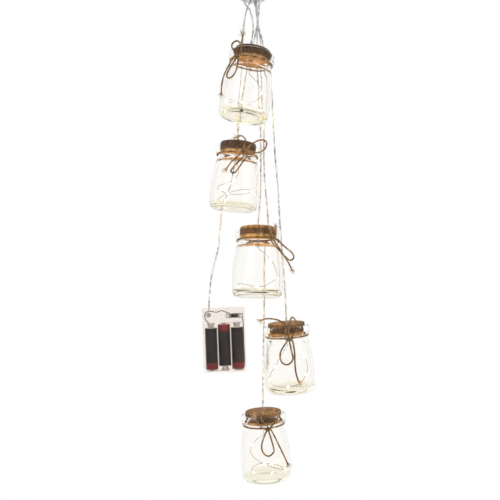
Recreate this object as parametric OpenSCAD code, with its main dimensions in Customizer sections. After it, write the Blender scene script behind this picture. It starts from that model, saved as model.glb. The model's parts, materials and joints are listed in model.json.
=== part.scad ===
// Cluster of five corked glass jars with copper-wire lights, hung on clear
// cables from one hanger, with a clear box for three AA cells on its own lead.
// Millimetres, +Z up, the front faces -Y, the origin is the hanger's eye.

/* [Jars] */
// Height of a glass jar
jar_h = 75; // [72:0.5:80]
// Outside diameter of the body at its widest
jar_d = 57.5; // [56:0.5:59]
// Outside diameter of the lip
lip_d = 52; // [50:0.5:53]
// Height of the lip's band
lip_h = 10; // [8:0.5:12]
// Outside diameter of the neck in the groove under the lip
neck_d = 45.6; // [45:0.2:47]
// Inside diameter of the mouth
mouth_d = 42; // [40:0.2:42.4]
// Thickness of the body's wall
wall = 2.8; // [2:0.2:3]
// Thickness of the jar's floor
floor_t = 4.5; // [3.5:0.5:6]

/* [Corks] */
// Length of a cork
cork_len = 13; // [11:0.5:15]
// How far a cork stands above the jar's rim
cork_proud = 3.5; // [2:0.5:5]
// Radial gap between a cork and the mouth at the rim
cork_gap = 0.05; // [0.02:0.01:0.1]
// How much narrower in radius a cork is at its lower end
cork_taper = 0.8; // [0.4:0.1:1.5]

/* [Twine] */
// Diameter of the jute twine
twine_d = 2; // [1.6:0.1:2.2]
// Radius of the knot
knot_r = 2.6; // [2:0.1:3]

/* [Cables and lights] */
// Diameter of a clear cable
cable_d = 2.3; // [2:0.1:2.6]
// Radial gap of a cable in the hole that it passes through
cable_gap = 0.05; // [0.03:0.01:0.1]
// Gap between a cable's end and the swinging piece that hangs on it
swing_gap = 0.6; // [0.4:0.1:0.8]
// Diameter of the sleeve that joins a cable to its copper wire
sleeve_d = 3.6; // [3:0.1:4]
// Length of that sleeve below the cork
sleeve_len = 9; // [7:0.5:10]
// Diameter of the copper light wire
wire_d = 0.6; // [0.5:0.1:0.8]
// Diameter of a light bead
bead_d = 3; // [2.4:0.2:3.4]

/* [Hanger] */
// Radius of the hanging eye's hole
eye_r = 3; // [2.5:0.1:3.5]
// Thickness of the eye
eye_t = 5; // [4:0.5:7]
// Width of material around the eye's hole
eye_rim = 3; // [2.5:0.1:3.4]
// Outside diameter of the hanger cap
cap_d = 33; // [32:0.5:36]
// Height of the hanger cap
cap_h = 13; // [12:0.5:14]
// Wall of the hanger cap
cap_wall = 1.8; // [1.2:0.1:2.2]
// Thickness of the plug that closes the cap
plug_t = 3; // [2:0.5:4]
// Thickness of the splice board in the cap
board_t = 1.6; // [1:0.2:2]

/* [Battery box] */
// Width of the box
box_w = 50.5; // [50:0.5:54]
// Length of the box
box_h = 76; // [76:0.5:80]
// Depth of the box, cover included
box_t = 19; // [19:0.5:22]
// Thickness of the case's and cover's walls
box_wall = 1.5; // [1.2:0.1:1.6]
// Radius of the box's corners
box_corner = 2; // [1:0.5:3]
// Diameter of an AA cell
cell_d = 14.5; // [13.5:0.1:14.5]
// Length of an AA cell with its contact nub
cell_len = 50.5; // [49.5:0.5:50.5]
// Distance between neighbouring cells' middles
cell_pitch = 15.4; // [14.8:0.1:15.6]
// Length that a contact spring fills
spring_len = 5; // [4.5:0.1:5.5]
// Thickness of the contact plates
plate_t = 0.5; // [0.3:0.1:0.6]
// Radius of the cover's hinge pins
hinge_pin_r = 0.75; // [0.5:0.05:0.8]
// Gap between the cover and the case's rim
cover_gap = 0.1; // [0.05:0.05:0.2]
// Radius of the cover screw's shank
screw_r = 1.2; // [1:0.1:1.3]

/* [Switch] */
// Width of the switch's knob
knob_w = 4; // [3:0.2:4.4]
// Travel of the switch's knob
knob_travel = 3; // [2:0.1:3.4]
// How far the knob stands out of the box
knob_proud = 2.5; // [1.5:0.1:3.5]
// Distance between the switch's two fixing screws
ear_pitch = 15.5; // [15:0.1:15.6]

/* [Hidden] */
JARS = [1, 2, 3, 4, 5];
$fn = 48;
CORD_SIDES = 8;
FLAT = 0.01;            // a cut runs this far past the face that it opens
TOUCH = 0.1;            // play between loose neighbours in the battery box

// Where each jar hangs: the middle of its cork's top, and how it leans there.
// A lean is [backwards, to the right] in degrees.
jar_at = [[0, -20, -89.5], [-17, 12, -188], [6, -10, -290], [38, 0, -397.5], [11.8, 18, -500.7]];
jar_lean = [[0, 8.5], [0, 4.5], [-5.5, 1], [4.5, -4], [3, -3.5]];

// Jar profile, in jar coordinates: Z = 0 at the rim, the jar below it
lip_r = lip_d / 2;
neck_r = neck_d / 2;
mouth_r = mouth_d / 2;
body_r = jar_d / 2;
groove_h = 3.4;                      // height of the groove that holds the twine
lip_round = 2.2;                     // rounding of the lip's edges
foot_round = 5;                      // rounding of the jar's foot
shoulder_z = -(lip_h + groove_h);    // where the shoulder starts to widen
widest_up = 17;                      // height of the body's widest place above its foot
widest_z = -(jar_h - widest_up);
inner_floor_z = -(jar_h - floor_t);
inner_round = 4;                      // rounding where the inside meets the floor
throat_r = mouth_r - 1.6;             // inside of the neck, below the cork
throat_len = 7;                       // length of the throat below the cork's seat

// Cork, in the same coordinates
cork_r = mouth_r - cork_gap;
cork_low_z = cork_proud - cork_len;
cork_seat_z = cork_low_z - 1;         // the glass narrows from here, below the cork
throat_low_z = cork_seat_z - throat_len;
cable_r = cable_d / 2;
cable_hole_r = cable_r + cable_gap;
sleeve_low_z = cork_low_z - sleeve_len;

// Twine ring in the groove
ring_play = 0.1;                      // between the ring and the neck
ring_drop = 0.3;                      // between the ring and the lip above it
ring_r = neck_r + twine_d / 2 + ring_play;
ring_z = -(lip_h + twine_d / 2 + ring_drop);
knot_out = 1.9;                       // the knot's middle lies outside the ring
knot_ring_r = ring_r + knot_out;
knot_z = ring_z - 1;
knot_bite = 0.3;                      // how far a strand of the bow runs into the knot
knot_clear = 0.8 * twine_d;           // how far off the knot a strand is free to bend

// Where the cables and, last, the battery lead leave the hanger, and their routes from there.
// A cable's last point is its jar's own place.
cable_exit = [[8.5, -5], [-2.5, 2], [6.5, -1], [2, 3], [4, 7], [-10, 7]];
cable_route = [
    [[8, -6, -27], [6.5, -8, -41], [4.5, -12, -57], [2, -17, -73]],
    [[-4, 2.5, -24], [-6.5, 3, -29], [-9.5, 4.5, -41], [-11.5, 7, -58], [-13, 9, -84],
     [-15, 10, -113], [-17.5, 10.5, -142], [-18, 11.5, -165]],
    [[6.5, -1, -27], [6, 0, -40], [5.5, 1.5, -53], [5, 6.5, -72], [6, 11, -97], [7.5, 11.5, -126],
     [8.5, 10.5, -155], [9, 3, -186], [9, -2, -221], [8.5, -6, -251], [7, -9, -271]],
    [[2.5, 3, -26], [4.5, 3.5, -37], [6.5, 4.5, -50], [11.5, 6, -70], [17.5, 8, -98],
     [22, 8, -128], [23.5, 7.5, -161], [26, 7, -203], [28.5, 6.5, -235], [30.5, 6, -267],
     [32.5, 5.5, -301], [35, 4.5, -330], [37, 2.5, -362]],
    [[4.5, 7.5, -26], [5, 8, -35], [6.5, 9, -48], [9.5, 11, -70], [11.5, 12.5, -101],
     [12.5, 12.5, -136], [13, 12, -169], [13, 13, -204], [14, 15, -233], [16.5, 17, -260],
     [18, 19.5, -281], [16.5, 21, -299], [14.5, 22, -320], [14, 23, -349],
     [13.5, 25, -376], [13, 27, -412], [12.5, 27, -444], [12, 23.5, -474]]
];
cable_steps = 3;        // rings of a cable's tube between two points of its route
cable_straight = 8;     // length of its straight end
// Where the battery lead meets the box, and the lead's route to it
box_pivot = [-52, 28, -381];
lead_route = [
    [-8.5, 7.5, -23.5], [-4, 9, -28.5], [-1.5, 10.5, -36], [0.5, 12.5, -47], [0, 14.5, -56],
    [-2, 17, -65], [-6, 21, -86], [-10.5, 27, -113], [-15, 35, -140], [-17.5, 41, -163],
    [-20.5, 44, -187], [-24, 46, -213], [-26.5, 46.5, -228], [-31, 46.5, -240], [-37, 46.5, -251],
    [-38.5, 46, -264], [-39, 44.5, -277], [-40, 42, -290], [-42, 37.5, -311],
    [-46.5, 33.5, -329], [-49.5, 30.5, -345], [-51, 29, -359]
];

// Light wires, in jar coordinates, below the sleeve
wire_route = [
    [[0, -1, -24], [5, -5, -29], [12, -5, -35], [17, 5, -42], [12, 15, -47], [0, 20, -51],
     [-14, 15, -54], [-20.5, 2, -57], [-15, -14, -60], [-2, -20.5, -63], [12, -16, -65.5],
     [17, -5, -66]],
    [[1, -2, -23], [3, -9, -27], [3, -15, -35], [-1, -18, -43], [-9, -18, -47], [-19, -8, -50],
     [-18, 9, -52], [-4, 20, -53], [13, 16, -52], [20, 1, -51], [14, -15, -52], [4, -20.5, -55],
     [-7, -20, -59], [-16, -13, -64], [-19, 1, -66], [-11, 14, -66]],
    [[2, -2, -22], [8, -8, -27], [14, -12, -35], [19, -9.5, -42], [21.5, 0, -46],
     [22.5, 2, -51], [21.5, -9, -55], [15, -17, -60], [8, -20.5, -64.5], [-1, -21, -66],
     [-12, -18, -63.5], [-20, -8, -61], [-21, 6, -63], [-12, 18, -65.5], [3, 19, -66]],
    [[-2, -4, -23], [-7, -12, -29], [-12, -16, -36], [-15.5, -14, -43.5], [-21.5, -9, -52],
     [-22.5, -3, -60], [-20.5, -7, -65], [-14, -14, -66], [-4, -20, -66], [9, -19, -63.5],
     [17, -15, -54.5], [20.5, -7, -45.5], [17, -9, -36]],
    [[-1, -2, -22], [-8, -6, -27], [-15, -8, -33], [-17, -11, -38.5], [-15, -16, -43.5],
     [-10, -20, -47.5], [-2, -21.5, -52], [8, -20.5, -57], [16.5, -15.5, -61], [21.5, -4, -65.5],
     [19, 9, -66], [7, 18, -65], [-8, 18, -63.5], [-17, 8, -65], [-15, -4, -66]]
];
// Which points of each light wire carry a bead
wire_beads = [[3, 5, 7, 9, 11], [3, 6, 9, 12, 15], [2, 6, 9, 12, 14], [3, 5, 8, 10, 12],
              [2, 6, 9, 11, 14]];

// Bows, in jar coordinates. The knot lies knot_turn degrees round from the front.
// Each jar has an upper tail, an upper loop, a lower loop and a lower tail.
knot_turn = [-35, 19, 36, 1, 9];
bow_route = [
    [[[-12.5, -27, 1.5], [-12.5, -24.5, 10]],
     [[-22, -27, -6], [-21.5, -28, -1.5], [-16.5, -29, 1], [-12, -29, -4]],
     [[-22.5, -19, -29], [-23, -21.5, -37], [-18, -26, -39], [-13.5, -27, -30]],
     [[-25.5, -15, -28], [-28, -13.5, -41], [-27, -16, -54]]],
    [[[9, -27.5, 1], [4, -25.5, 7], [-1, -22, 6]],
     [[19, -24, 1], [28, -22, 5], [33, -21, 2], [31, -20, -5], [24, -20, -9.5]],
     [[-1.5, -29.5, -29], [-5, -31.5, -35.5], [-1, -31.5, -37], [3.5, -30.5, -31]],
     [[-5, -28, -24], [-10, -27.5, -32]]],
    [[[18.5, -25.5, -2.5]],
     [[4.5, -29, -9], [2.5, -28, -3], [8, -27.5, 0], [13.5, -27, -4]],
     [[30, -20, -21.5], [37, -21, -27.5], [39, -23, -33.5], [34.5, -24.5, -36.5],
      [26.5, -26, -30]],
     [[26, -22, -27.5], [33, -21, -38], [36.5, -21, -45]]],
    [[[-2.5, -27.5, 3], [-8, -26.5, 9], [-15.5, -24, 11.5], [-22.5, -21, 12], [-28, -18, 10.5]],
     [[2, -29.5, 5], [4.5, -29, 12], [7.5, -28.5, 11], [10, -28, 5.5], [8.5, -28, -4]],
     [[-10, -27, -26], [-9.5, -29.5, -36], [-3, -32, -39], [3, -32, -33.5], [2, -30.5, -24]],
     [[5.5, -28.5, -26], [5, -30.5, -39], [5.5, -31, -50], [7.5, -30.5, -58]]],
    [[[-5, -28.5, -7], [-9, -27, 0.5]],
     [[15, -25.5, -1.5], [15, -26.5, 7], [9.5, -27, 10.5], [2, -28, 9], [-3, -28.5, 5],
      [-1.5, -28.5, -2]],
     [[-4, -28.5, -28], [-3, -31, -36.5], [3, -32, -40.5], [9, -30.5, -36], [8, -29.5, -27]],
     [[14.5, -25.5, -29], [20.5, -23.5, -44], [24, -20, -54]]]
];
// Which way each end of a strand leaves its knot: [across, outwards, up]
bow_leave = [
    [[[0.3, 2.4, 1.6]], [[-1.9, 0.9, 2.6], [2.8, 0.4, 1.2]],
     [[-1.2, 0.6, -2.8], [1.6, 0.8, -2.4]], [[-2.9, 0.8, -0.6]]],
    [[[-1.8, 1.2, 2]], [[0.8, 1, 2.8], [2.9, 0.4, 0.9]],
     [[-0.7, 0.9, -2.7], [2, 0.9, -1.9]], [[-2.9, 0.6, -0.8]]],
    [[[0.9, 1.3, 2.6]], [[-3, 0.6, -0.4], [-1.9, 0.7, 2.2]],
     [[2.9, 0.6, 0.5], [-1, 1, -2.7]], [[1.8, 0.8, -2.1]]],
    [[[-2.8, 0.5, 1.1]], [[-0.4, 1.2, 2.7], [2.3, 0.5, 1.9]],
     [[-2.2, 0.7, -1.9], [0.5, 1.1, -2.8]], [[2.8, 0.7, -1.2]]],
    [[[-2.8, 0.6, 0.8]], [[2.3, 0.5, 1.9], [-0.4, 1.2, 2.7]],
     [[-2, 0.8, -2.1], [0.7, 1.1, -2.7]], [[2.8, 0.6, -1]]]
];
bow_steps = 2;          // rings of a strand's tube between two points of its route

// Hanger cap: the eye's hole is the origin
eye_sunk = 1;                         // how far the eye's foot is sunk into the cap
cap_top_z = -(eye_r + eye_rim) + eye_sunk;
cap_low_z = cap_top_z - cap_h;
cap_r = cap_d / 2;
cap_in_r = cap_r - cap_wall;
cap_round = 4;
roof_z = cap_top_z - cap_wall - eye_sunk;  // inside of the cap's top
plug_top_z = cap_low_z + plug_t;
ledge_w = 1.2;                        // ledge that the splice board sits up against
splice_room = 5;                      // height between the plug and the ledge
ledge_z = plug_top_z + splice_room;
board_low_z = ledge_z - board_t;
plug_fit = 0.05;

// Battery box, in its own coordinates: X across, Y through it, Z = 0 at its top
box_lean = -2.2;
cover_low_y = box_t / 2 - box_wall;
case_back_y = cover_low_y - cover_gap; // the case's rim
case_front_y = -box_t / 2;
case_floor_y = case_front_y + box_wall;
bay_low_z = -(box_h - box_wall);
bay_top_z = bay_low_z + cell_len + spring_len + 2 * plate_t;
pocket_top_z = -box_wall;
pocket_low_z = bay_top_z + box_wall;  // floor of the switch pocket
bay_half = box_w / 2 - box_wall;
lead_in = 6.95;                       // the lead enters the top wall this far from the side's
lead_x = lead_in - bay_half;
cell_y = case_floor_y + cell_d / 2 + TOUCH;
cell_nub = 1.3;
cell_nub_d = 5.4;
cell_body = cell_len - cell_nub;
cell_x = [-cell_pitch, 0, cell_pitch];
cell_up = [false, true, false];       // whether a cell's nub points up
plate_half = 5;
plate_deep = 12;                      // width of the plates through the box
plate_y = [case_floor_y + plate_t * 2, case_floor_y + plate_t * 2 + plate_deep];
spring_turns = 4;
spring_steps = 12;                    // rings of its tube in one turn
spring_wire_r = 0.4;
spring_end_r = [4.6, 3];              // radius of a spring at its plate and at its cell
rib_short = 8;                        // how far the ribs end from both ends of the bays
rib = [1.2, 4];                       // width and height of the ribs between cells
boss_r = 2.9;
boss_in = 5.5;                        // distance of the boss's middle from the side wall
boss_at = [boss_in - bay_half, pocket_z(0.47)];
boss_hole_r = screw_r + 0.4;
cover_hole_r = screw_r + 0.1;
screw_head = [2.6, 1.2];              // radius and height of the cover screw's head
screw_slot = [2.8, 1.2, 0.6];         // length, depth twice over, and width of its cross slot
screw_tip_y = cover_low_y - 6;
hinge_y = cover_low_y;
ear_r = box_wall;                     // the case's hinge ears are this round about the pins
hinge_z = -(box_h - ear_r - TOUCH);
hinge_clear = 0.05;
ear_w = 3;
ear_out = box_w / 2 - box_corner;
ear_in = ear_out - ear_w;
ear_gap = 0.3;
pin_reach = ear_w - 1;                // how far a hinge pin goes into its ear

// Switch, in the box's coordinates, centred at switch_at
switch_h = 5.2;
switch_plate_t = 0.5;
switch_ear = 2.3;                     // how far the plate runs past each screw's middle
switch_plate_w = ear_pitch + 2 * switch_ear;
switch_side = 0.65;                   // between the plate and the pocket's side wall
switch_at = [bay_half - switch_plate_w / 2 - switch_side, pocket_z(0.57)];
switch_body_w = 11.6;
switch_body_t = 5.4;
switch_skin = 0.7;
switch_screw_r = 1;
switch_screw_gap = 0.05;
switch_head = [1.9, 0.8];
slider_gap = 0.3;
knob_h = 3.4;
slider_w = switch_body_w - 2 * switch_skin - knob_travel - 2 * slider_gap;
slider_t = 2.6;
knob_slot_w = knob_w + knob_travel + 2 * slider_gap;
knob_slot_h = knob_h + 2 * slider_gap;
switch_back_y = case_floor_y + switch_plate_t + switch_body_t;
knob_rest = knob_travel / 2;          // the knob rests at the right, on
knob_groove_r = 0.3;
pin_pitch = 3.4;
pin_len = 2.6;
pin_half = [0.5, 0.9];                // half a pin's width and height

// The box's inner wires, soldered to the plates' back edges and the pins' ends
link_d = 1;
tail_low_z = -3.4;
solder_gap = 0.02;
pin_gap = 0.15;                       // between a pin and the end of the wire soldered to it
screw_through = 0.8;                  // how far a switch screw stands out behind its plate
plate_solder_y = plate_y[1] + link_d / 2 + solder_gap;
pin_solder_y = switch_back_y + pin_len + pin_gap;
wire_in = 0.8;                        // between a wire's middle and the wall beside it
minus_route = [[lead_x - 0.6, 0, tail_low_z], [lead_x - 0.7, 0, tail_low_z - 0.6],
               [boss_at[0] - 1, 0.5, -4.6], [boss_at[0] - 3.2, 2, -5.8],
               [boss_at[0] - 4.2, 4, pocket_z(0.43)], [boss_at[0] - 4.2, 6, pocket_z(0.7)],
               [boss_at[0] - 2.8, 6.8, pocket_z(0.93)],
               [cell_x[0] - 2.6, plate_solder_y, bay_top_z - plate_t / 2]];
switch_route = [[lead_x + 0.6, 0, tail_low_z], [lead_x + 0.7, 0, tail_low_z - 0.6],
                [lead_x + 2.5, 0, -4.4], [-8, 0, -5.4],
                [-3, -0.5, -3.8], [1.5, -0.2, -5], [7, 1.5, pocket_z(0.4)],
                [switch_at[0], pin_solder_y + 1.5, switch_at[1]],
                [switch_at[0], pin_solder_y, switch_at[1]]];
return_x = bay_half - wire_in;
return_route = [[switch_at[0] + pin_pitch, pin_solder_y, switch_at[1]],
                [switch_at[0] + pin_pitch, pin_solder_y + 1.2, switch_at[1]],
                [switch_at[0] + 6, 3.5, switch_at[1] - 0.6],
                [return_x - 1, 6.2, pocket_z(0.77)], [return_x, 6.8, bay_top_z - 1],
                [return_x, 6.8, bay_z(0.28)], [return_x, 6.8, bay_z(0.6)],
                [return_x, 6.8, bay_z(0.88)], [return_x - 2, 6.4, bay_low_z + 2],
                [cell_x[2] + 2.6, plate_solder_y, bay_low_z + plate_t / 2 + 0.3]];

// The height at a share t of the way down the switch pocket
function pocket_z(t) = pocket_top_z - t * (pocket_top_z - pocket_low_z);

// The height at a share t of the way down the cells' bays
function bay_z(t) = bay_top_z - t * (bay_top_z - bay_low_z);

// ---- curves ----

// A point on the Catmull-Rom curve between b and c
function between(a, b, c, d, t) =
    ((2 * b) + (c - a) * t + (2 * a - 5 * b + 4 * c - d) * t * t
     + (3 * b - 3 * c + d - a) * t * t * t) / 2;

// A route with steps - 1 points added between each two of its own
function smooth(route, steps) = [
    for (i = [0:len(route) - 2])
        let (a = route[max(i - 1, 0)], b = route[i], c = route[i + 1],
             d = route[min(i + 2, len(route) - 1)])
        for (k = [0:steps - 1]) between(a, b, c, d, k / steps),
    route[len(route) - 1]
];

function unit(v) = v / norm(v);

// The way a route heads at point i
function heading(p, i) = unit(p[min(i + 1, len(p) - 1)] - p[max(i - 1, 0)]);

// A sideways direction at every point, turned as little as possible on the way
function sides(p) = [
    for (i = 0, u = unit(cross(heading(p, 0), [0.31, 0.94, 0.12])); i < len(p);
         i = i + 1, u = i < len(p) ? unit(u - (u * heading(p, i)) * heading(p, i)) : u) u
];

// A round tube of radius r along points p, closed at both ends
module tube(p, r, n = CORD_SIDES) {
    u = sides(p);
    rings = [
        for (i = [0:len(p) - 1])
            let (v = cross(heading(p, i), u[i]))
            for (k = [0:n - 1]) p[i] + r * (cos(360 * k / n) * u[i] + sin(360 * k / n) * v)
    ];
    walls = [
        for (i = [0:len(p) - 2], k = [0:n - 1])
            let (a = i * n + k, b = i * n + (k + 1) % n)
            [a, a + n, b + n, b]
    ];
    last = (len(p) - 1) * n;
    polyhedron(rings, concat([[for (k = [0:n - 1]) k]],
                             walls,
                             [[for (k = [n - 1:-1:0]) last + k]]), convexity = 6);
}

// Points of a quarter circle about c from angle a to angle b
function arc(c, r, a, b, n = 5) = [
    for (k = [0:n]) let (t = a + (b - a) * k / n) [c[0] + r * cos(t), c[1] + r * sin(t)]
];

// The straight start of a cable, from the splice board through the plug
function cable_start(k) = [
    for (z = [board_low_z, plug_top_z, cap_low_z - 2]) [cable_exit[k][0], cable_exit[k][1], z]
];

// Its straight end above the place that it carries
function cable_end(at) = [at + [0, 0, swing_gap + cable_straight], at + [0, 0, swing_gap]];

// ---- places ----

module at_jar(n) {
    translate(jar_at[n - 1])
        rotate([jar_lean[n - 1][0], jar_lean[n - 1][1], 0])
            translate([0, 0, -cork_proud])
                children();
}

module at_box() {
    translate(box_pivot)
        rotate([0, box_lean, 0])
            translate([-lead_x, 0, 0])
                children();
}

// ---- hanger ----

module cable_holes(low, high) {
    for (at = cable_exit)
        translate([at[0], at[1], low - FLAT])
            cylinder(r = cable_hole_r, h = high - low + 2 * FLAT);
}

module hanger() {
    color("gainsboro") difference() {
        union() {
            rotate_extrude() polygon(concat(
                [[0, cap_top_z]],
                arc([cap_r - cap_round, cap_top_z - cap_round], cap_round, 90, 0),
                [[cap_r, cap_low_z], [cap_in_r, cap_low_z], [cap_in_r, ledge_z],
                 [cap_in_r - ledge_w, ledge_z], [cap_in_r - ledge_w, roof_z], [0, roof_z]]));
            rotate([90, 0, 0])
                cylinder(r = eye_r + eye_rim, h = eye_t, center = true);
            translate([0, 0, (cap_top_z - eye_sunk) / 2])
                cube([2 * (eye_r + eye_rim), eye_t, eye_sunk - cap_top_z], center = true);
        }
        rotate([90, 0, 0])
            cylinder(r = eye_r, h = eye_t + 2, center = true);
    }
}

module hanger_plug() {
    color("gainsboro") difference() {
        translate([0, 0, cap_low_z])
            cylinder(r = cap_in_r - plug_fit, h = plug_t);
        cable_holes(cap_low_z, plug_top_z);
    }
}

module splice_board() {
    color("seagreen")
        translate([0, 0, board_low_z])
            cylinder(r = cap_in_r - plug_fit, h = board_t);
}

module jar_cable(n) {
    color("lightgray")
        tube(smooth(concat(cable_start(n - 1), cable_route[n - 1], cable_end(jar_at[n - 1])),
                    cable_steps), cable_r);
}

module battery_lead() {
    color("lightgray")
        tube(smooth(concat(cable_start(len(JARS)), lead_route, cable_end(box_pivot)),
                    cable_steps), cable_r);
}

// ---- jars ----

// The sleeve holds the cable's end in the cork's hole and grips the copper wire below it
module jar_sleeve(n) {
    color("silver") at_jar(n) {
        translate([0, 0, cork_low_z])
            cylinder(r = cable_r, h = cork_proud - cork_low_z);
        translate([0, 0, sleeve_low_z])
            cylinder(r = sleeve_d / 2, h = sleeve_len);
    }
}

module jar_wire(n) {
    color("peru") at_jar(n)
        tube(smooth(concat([[0, 0, sleeve_low_z]], wire_route[n - 1]), 3), wire_d / 2);
}

module jar_beads(n) {
    color("gold") at_jar(n)
        for (k = wire_beads[n - 1])
            translate(wire_route[n - 1][k])
                sphere(d = bead_d);
}

module jar_cork(n) {
    color("saddlebrown") at_jar(n) difference() {
        union() {
            cylinder(r = cork_r, h = cork_proud);
            translate([0, 0, cork_low_z])
                cylinder(r1 = cork_r - cork_taper, r2 = cork_r, h = -cork_low_z);
        }
        translate([0, 0, cork_low_z - FLAT])
            cylinder(r = cable_hole_r, h = cork_len + 2 * FLAT);
    }
}

// Radius of the shoulder between the neck and the widest place, at a height z
function shoulder_r(z) =
    let (t = (shoulder_z - z) / (shoulder_z - widest_z))
    neck_r + (body_r - neck_r) * sin(90 * pow(t, 0.8));

function shoulder(inset, n = 8) = [
    for (k = [0:n]) let (z = shoulder_z + (widest_z - shoulder_z) * k / n)
        [shoulder_r(z) - inset, z]
];

module jar_glass(n) {
    outside = concat(
        arc([lip_r - lip_round, -lip_round], lip_round, 90, 0),
        arc([lip_r - lip_round, -lip_h + lip_round], lip_round, 0, -90),
        [[neck_r, -lip_h]],
        shoulder(0),
        arc([body_r - foot_round - 0.4, -jar_h + foot_round], foot_round, 0, -90)
    );
    inside = concat(
        arc([body_r - wall - inner_round, inner_floor_z + inner_round], inner_round, -90, 0),
        [for (k = [8:-1:1]) let (z = throat_low_z - 1 + (widest_z - throat_low_z) * k / 8)
            [max(shoulder_r(z) - wall, throat_r), z]],
        [[throat_r, throat_low_z], [throat_r, cork_seat_z], [mouth_r, cork_low_z + 1],
         [mouth_r, -1], [mouth_r + 1, 0]]
    );
    color([0.85, 0.9, 0.88, 0.35]) at_jar(n)
        rotate_extrude()
            polygon(concat(outside, [[0, -jar_h], [0, inner_floor_z]], inside));
}

function knot_at(n) = [
    knot_ring_r * sin(knot_turn[n - 1]), -knot_ring_r * cos(knot_turn[n - 1]), knot_z
];

// The point at a distance r from the knot's middle, the way that a strand leaves it
function off_knot(n, way, r) =
    let (turn = knot_turn[n - 1])
    knot_at(n) + r * unit([way[0] * cos(turn) + way[1] * sin(turn),
                           way[0] * sin(turn) - way[1] * cos(turn), way[2]]);

// Strand k of a bow: a tail has one end in the knot, and a loop has two
module bow_strand(n, k) {
    leave = bow_leave[n - 1][k];
    near = knot_r - knot_bite;
    far = knot_r + knot_clear;
    start = [off_knot(n, leave[0], near), off_knot(n, leave[0], far)];
    end = len(leave) > 1 ? [off_knot(n, leave[1], far), off_knot(n, leave[1], near)] : [];
    tube(smooth(concat(start, bow_route[n - 1][k], end), bow_steps), twine_d / 2);
}

module jar_bow(n) {
    color("peru") at_jar(n)
        for (k = [0:3])
            bow_strand(n, k);
}

module jar_twine(n) {
    color("peru") at_jar(n) {
        translate([0, 0, ring_z])
            rotate_extrude()
                translate([ring_r, 0])
                    circle(d = twine_d);
        translate(knot_at(n))
            sphere(r = knot_r);
    }
}

// ---- battery box ----

// A rectangle with round corners, hung from z = 0
module rounded(w, h, r) {
    translate([-w / 2 + r, -h]) square([w - 2 * r, h]);
    translate([-w / 2, -h + r]) square([w, h - 2 * r]);
    for (x = [-w / 2 + r, w / 2 - r], z = [-r, -h + r])
        translate([x, z]) circle(r = r);
}

// An upright slab of that outline between two depths
module slab(y0, y1) {
    translate([0, y1, 0])
        rotate([90, 0, 0])
            linear_extrude(y1 - y0)
                children();
}

// A round bar through the box at a place in its face
module bar(at, r, y0, y1) {
    translate([at[0], y1, at[1]])
        rotate([90, 0, 0])
            cylinder(r = r, h = y1 - y0);
}

module block(x, y, z) {
    translate([x[0], y[0], z[0]])
        cube([x[1] - x[0], y[1] - y[0], z[1] - z[0]]);
}

// The bar that both hinge pins are the ends of
module hinge_bar(r, half) {
    translate([-half, hinge_y, hinge_z])
        rotate([0, 90, 0])
            cylinder(r = r, h = 2 * half);
}

module battery_case() {
    color([0.9, 0.88, 0.88, 0.5]) at_box() difference() {
        union() {
            difference() {
                slab(case_front_y, case_back_y) rounded(box_w, box_h, box_corner);
                block([-bay_half, bay_half], [case_floor_y, case_back_y + 1],
                      [bay_low_z, bay_top_z]);
                block([-bay_half, bay_half], [case_floor_y, case_back_y + 1],
                      [pocket_low_z, -box_wall]);
                // the wall between bays and pocket stops short of the cover, for the wires
                block([-bay_half, bay_half], [plate_y[1] + FLAT, case_back_y + 1],
                      [bay_top_z - 1, pocket_low_z + 1]);
                // the end wall is lower where the cover's edge turns
                block([-ear_in, ear_in], [hinge_y - hinge_pin_r - ear_gap, case_back_y + 1],
                      [-box_h - 1, bay_low_z + 1]);
            }
            for (x = [-cell_pitch / 2, cell_pitch / 2])
                block([x - rib[0] / 2, x + rib[0] / 2], [case_floor_y - FLAT, case_floor_y + rib[1]],
                      [bay_low_z + rib_short, bay_top_z - rib_short]);
            bar(boss_at, boss_r, case_floor_y - FLAT, case_back_y - TOUCH);
            for (x = [-ear_out, ear_in])
                translate([x, hinge_y, hinge_z])
                    rotate([0, 90, 0])
                        cylinder(r = ear_r, h = ear_w);
        }
        bar(boss_at, boss_hole_r, screw_tip_y - 1, case_back_y + 1);
        hinge_bar(hinge_pin_r + hinge_clear, ear_in + pin_reach + ear_gap);
        translate([lead_x, 0, -box_wall - FLAT])
            cylinder(r = cable_hole_r, h = box_wall + 2 * FLAT);
        block([switch_at[0] - knob_slot_w / 2, switch_at[0] + knob_slot_w / 2],
              [case_front_y - 1, case_floor_y + 1],
              [switch_at[1] - knob_slot_h / 2, switch_at[1] + knob_slot_h / 2]);
        for (s = [-1, 1])
            bar([switch_at[0] + s * ear_pitch / 2, switch_at[1]],
                switch_screw_r + switch_screw_gap, case_front_y - 1, case_floor_y + 1);
    }
}

module battery_cover() {
    color([0.9, 0.88, 0.88, 0.5]) at_box() {
        difference() {
            slab(cover_low_y, box_t / 2) rounded(box_w, box_h, box_corner);
            // room for the case's ears, and nothing below the hinge's axis
            for (x = [[-box_w, -ear_in + ear_gap], [ear_in - ear_gap, box_w]])
                block(x, [0, box_t], [-box_h - 1, hinge_z + ear_r + ear_gap]);
            block([-box_w, box_w], [0, box_t], [-box_h - 1, hinge_z]);
            bar(boss_at, cover_hole_r, 0, box_t);
        }
        hinge_bar(hinge_pin_r, ear_in + pin_reach);
    }
}

module cover_screw() {
    color("gray") at_box() difference() {
        union() {
            bar(boss_at, screw_r, screw_tip_y, box_t / 2 + FLAT);
            bar(boss_at, screw_head[0], box_t / 2, box_t / 2 + screw_head[1]);
        }
        for (a = [0, 90])
            translate([boss_at[0], box_t / 2 + screw_head[1], boss_at[1]])
                rotate([0, a, 0])
                    cube(screw_slot, center = true);
    }
}

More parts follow.
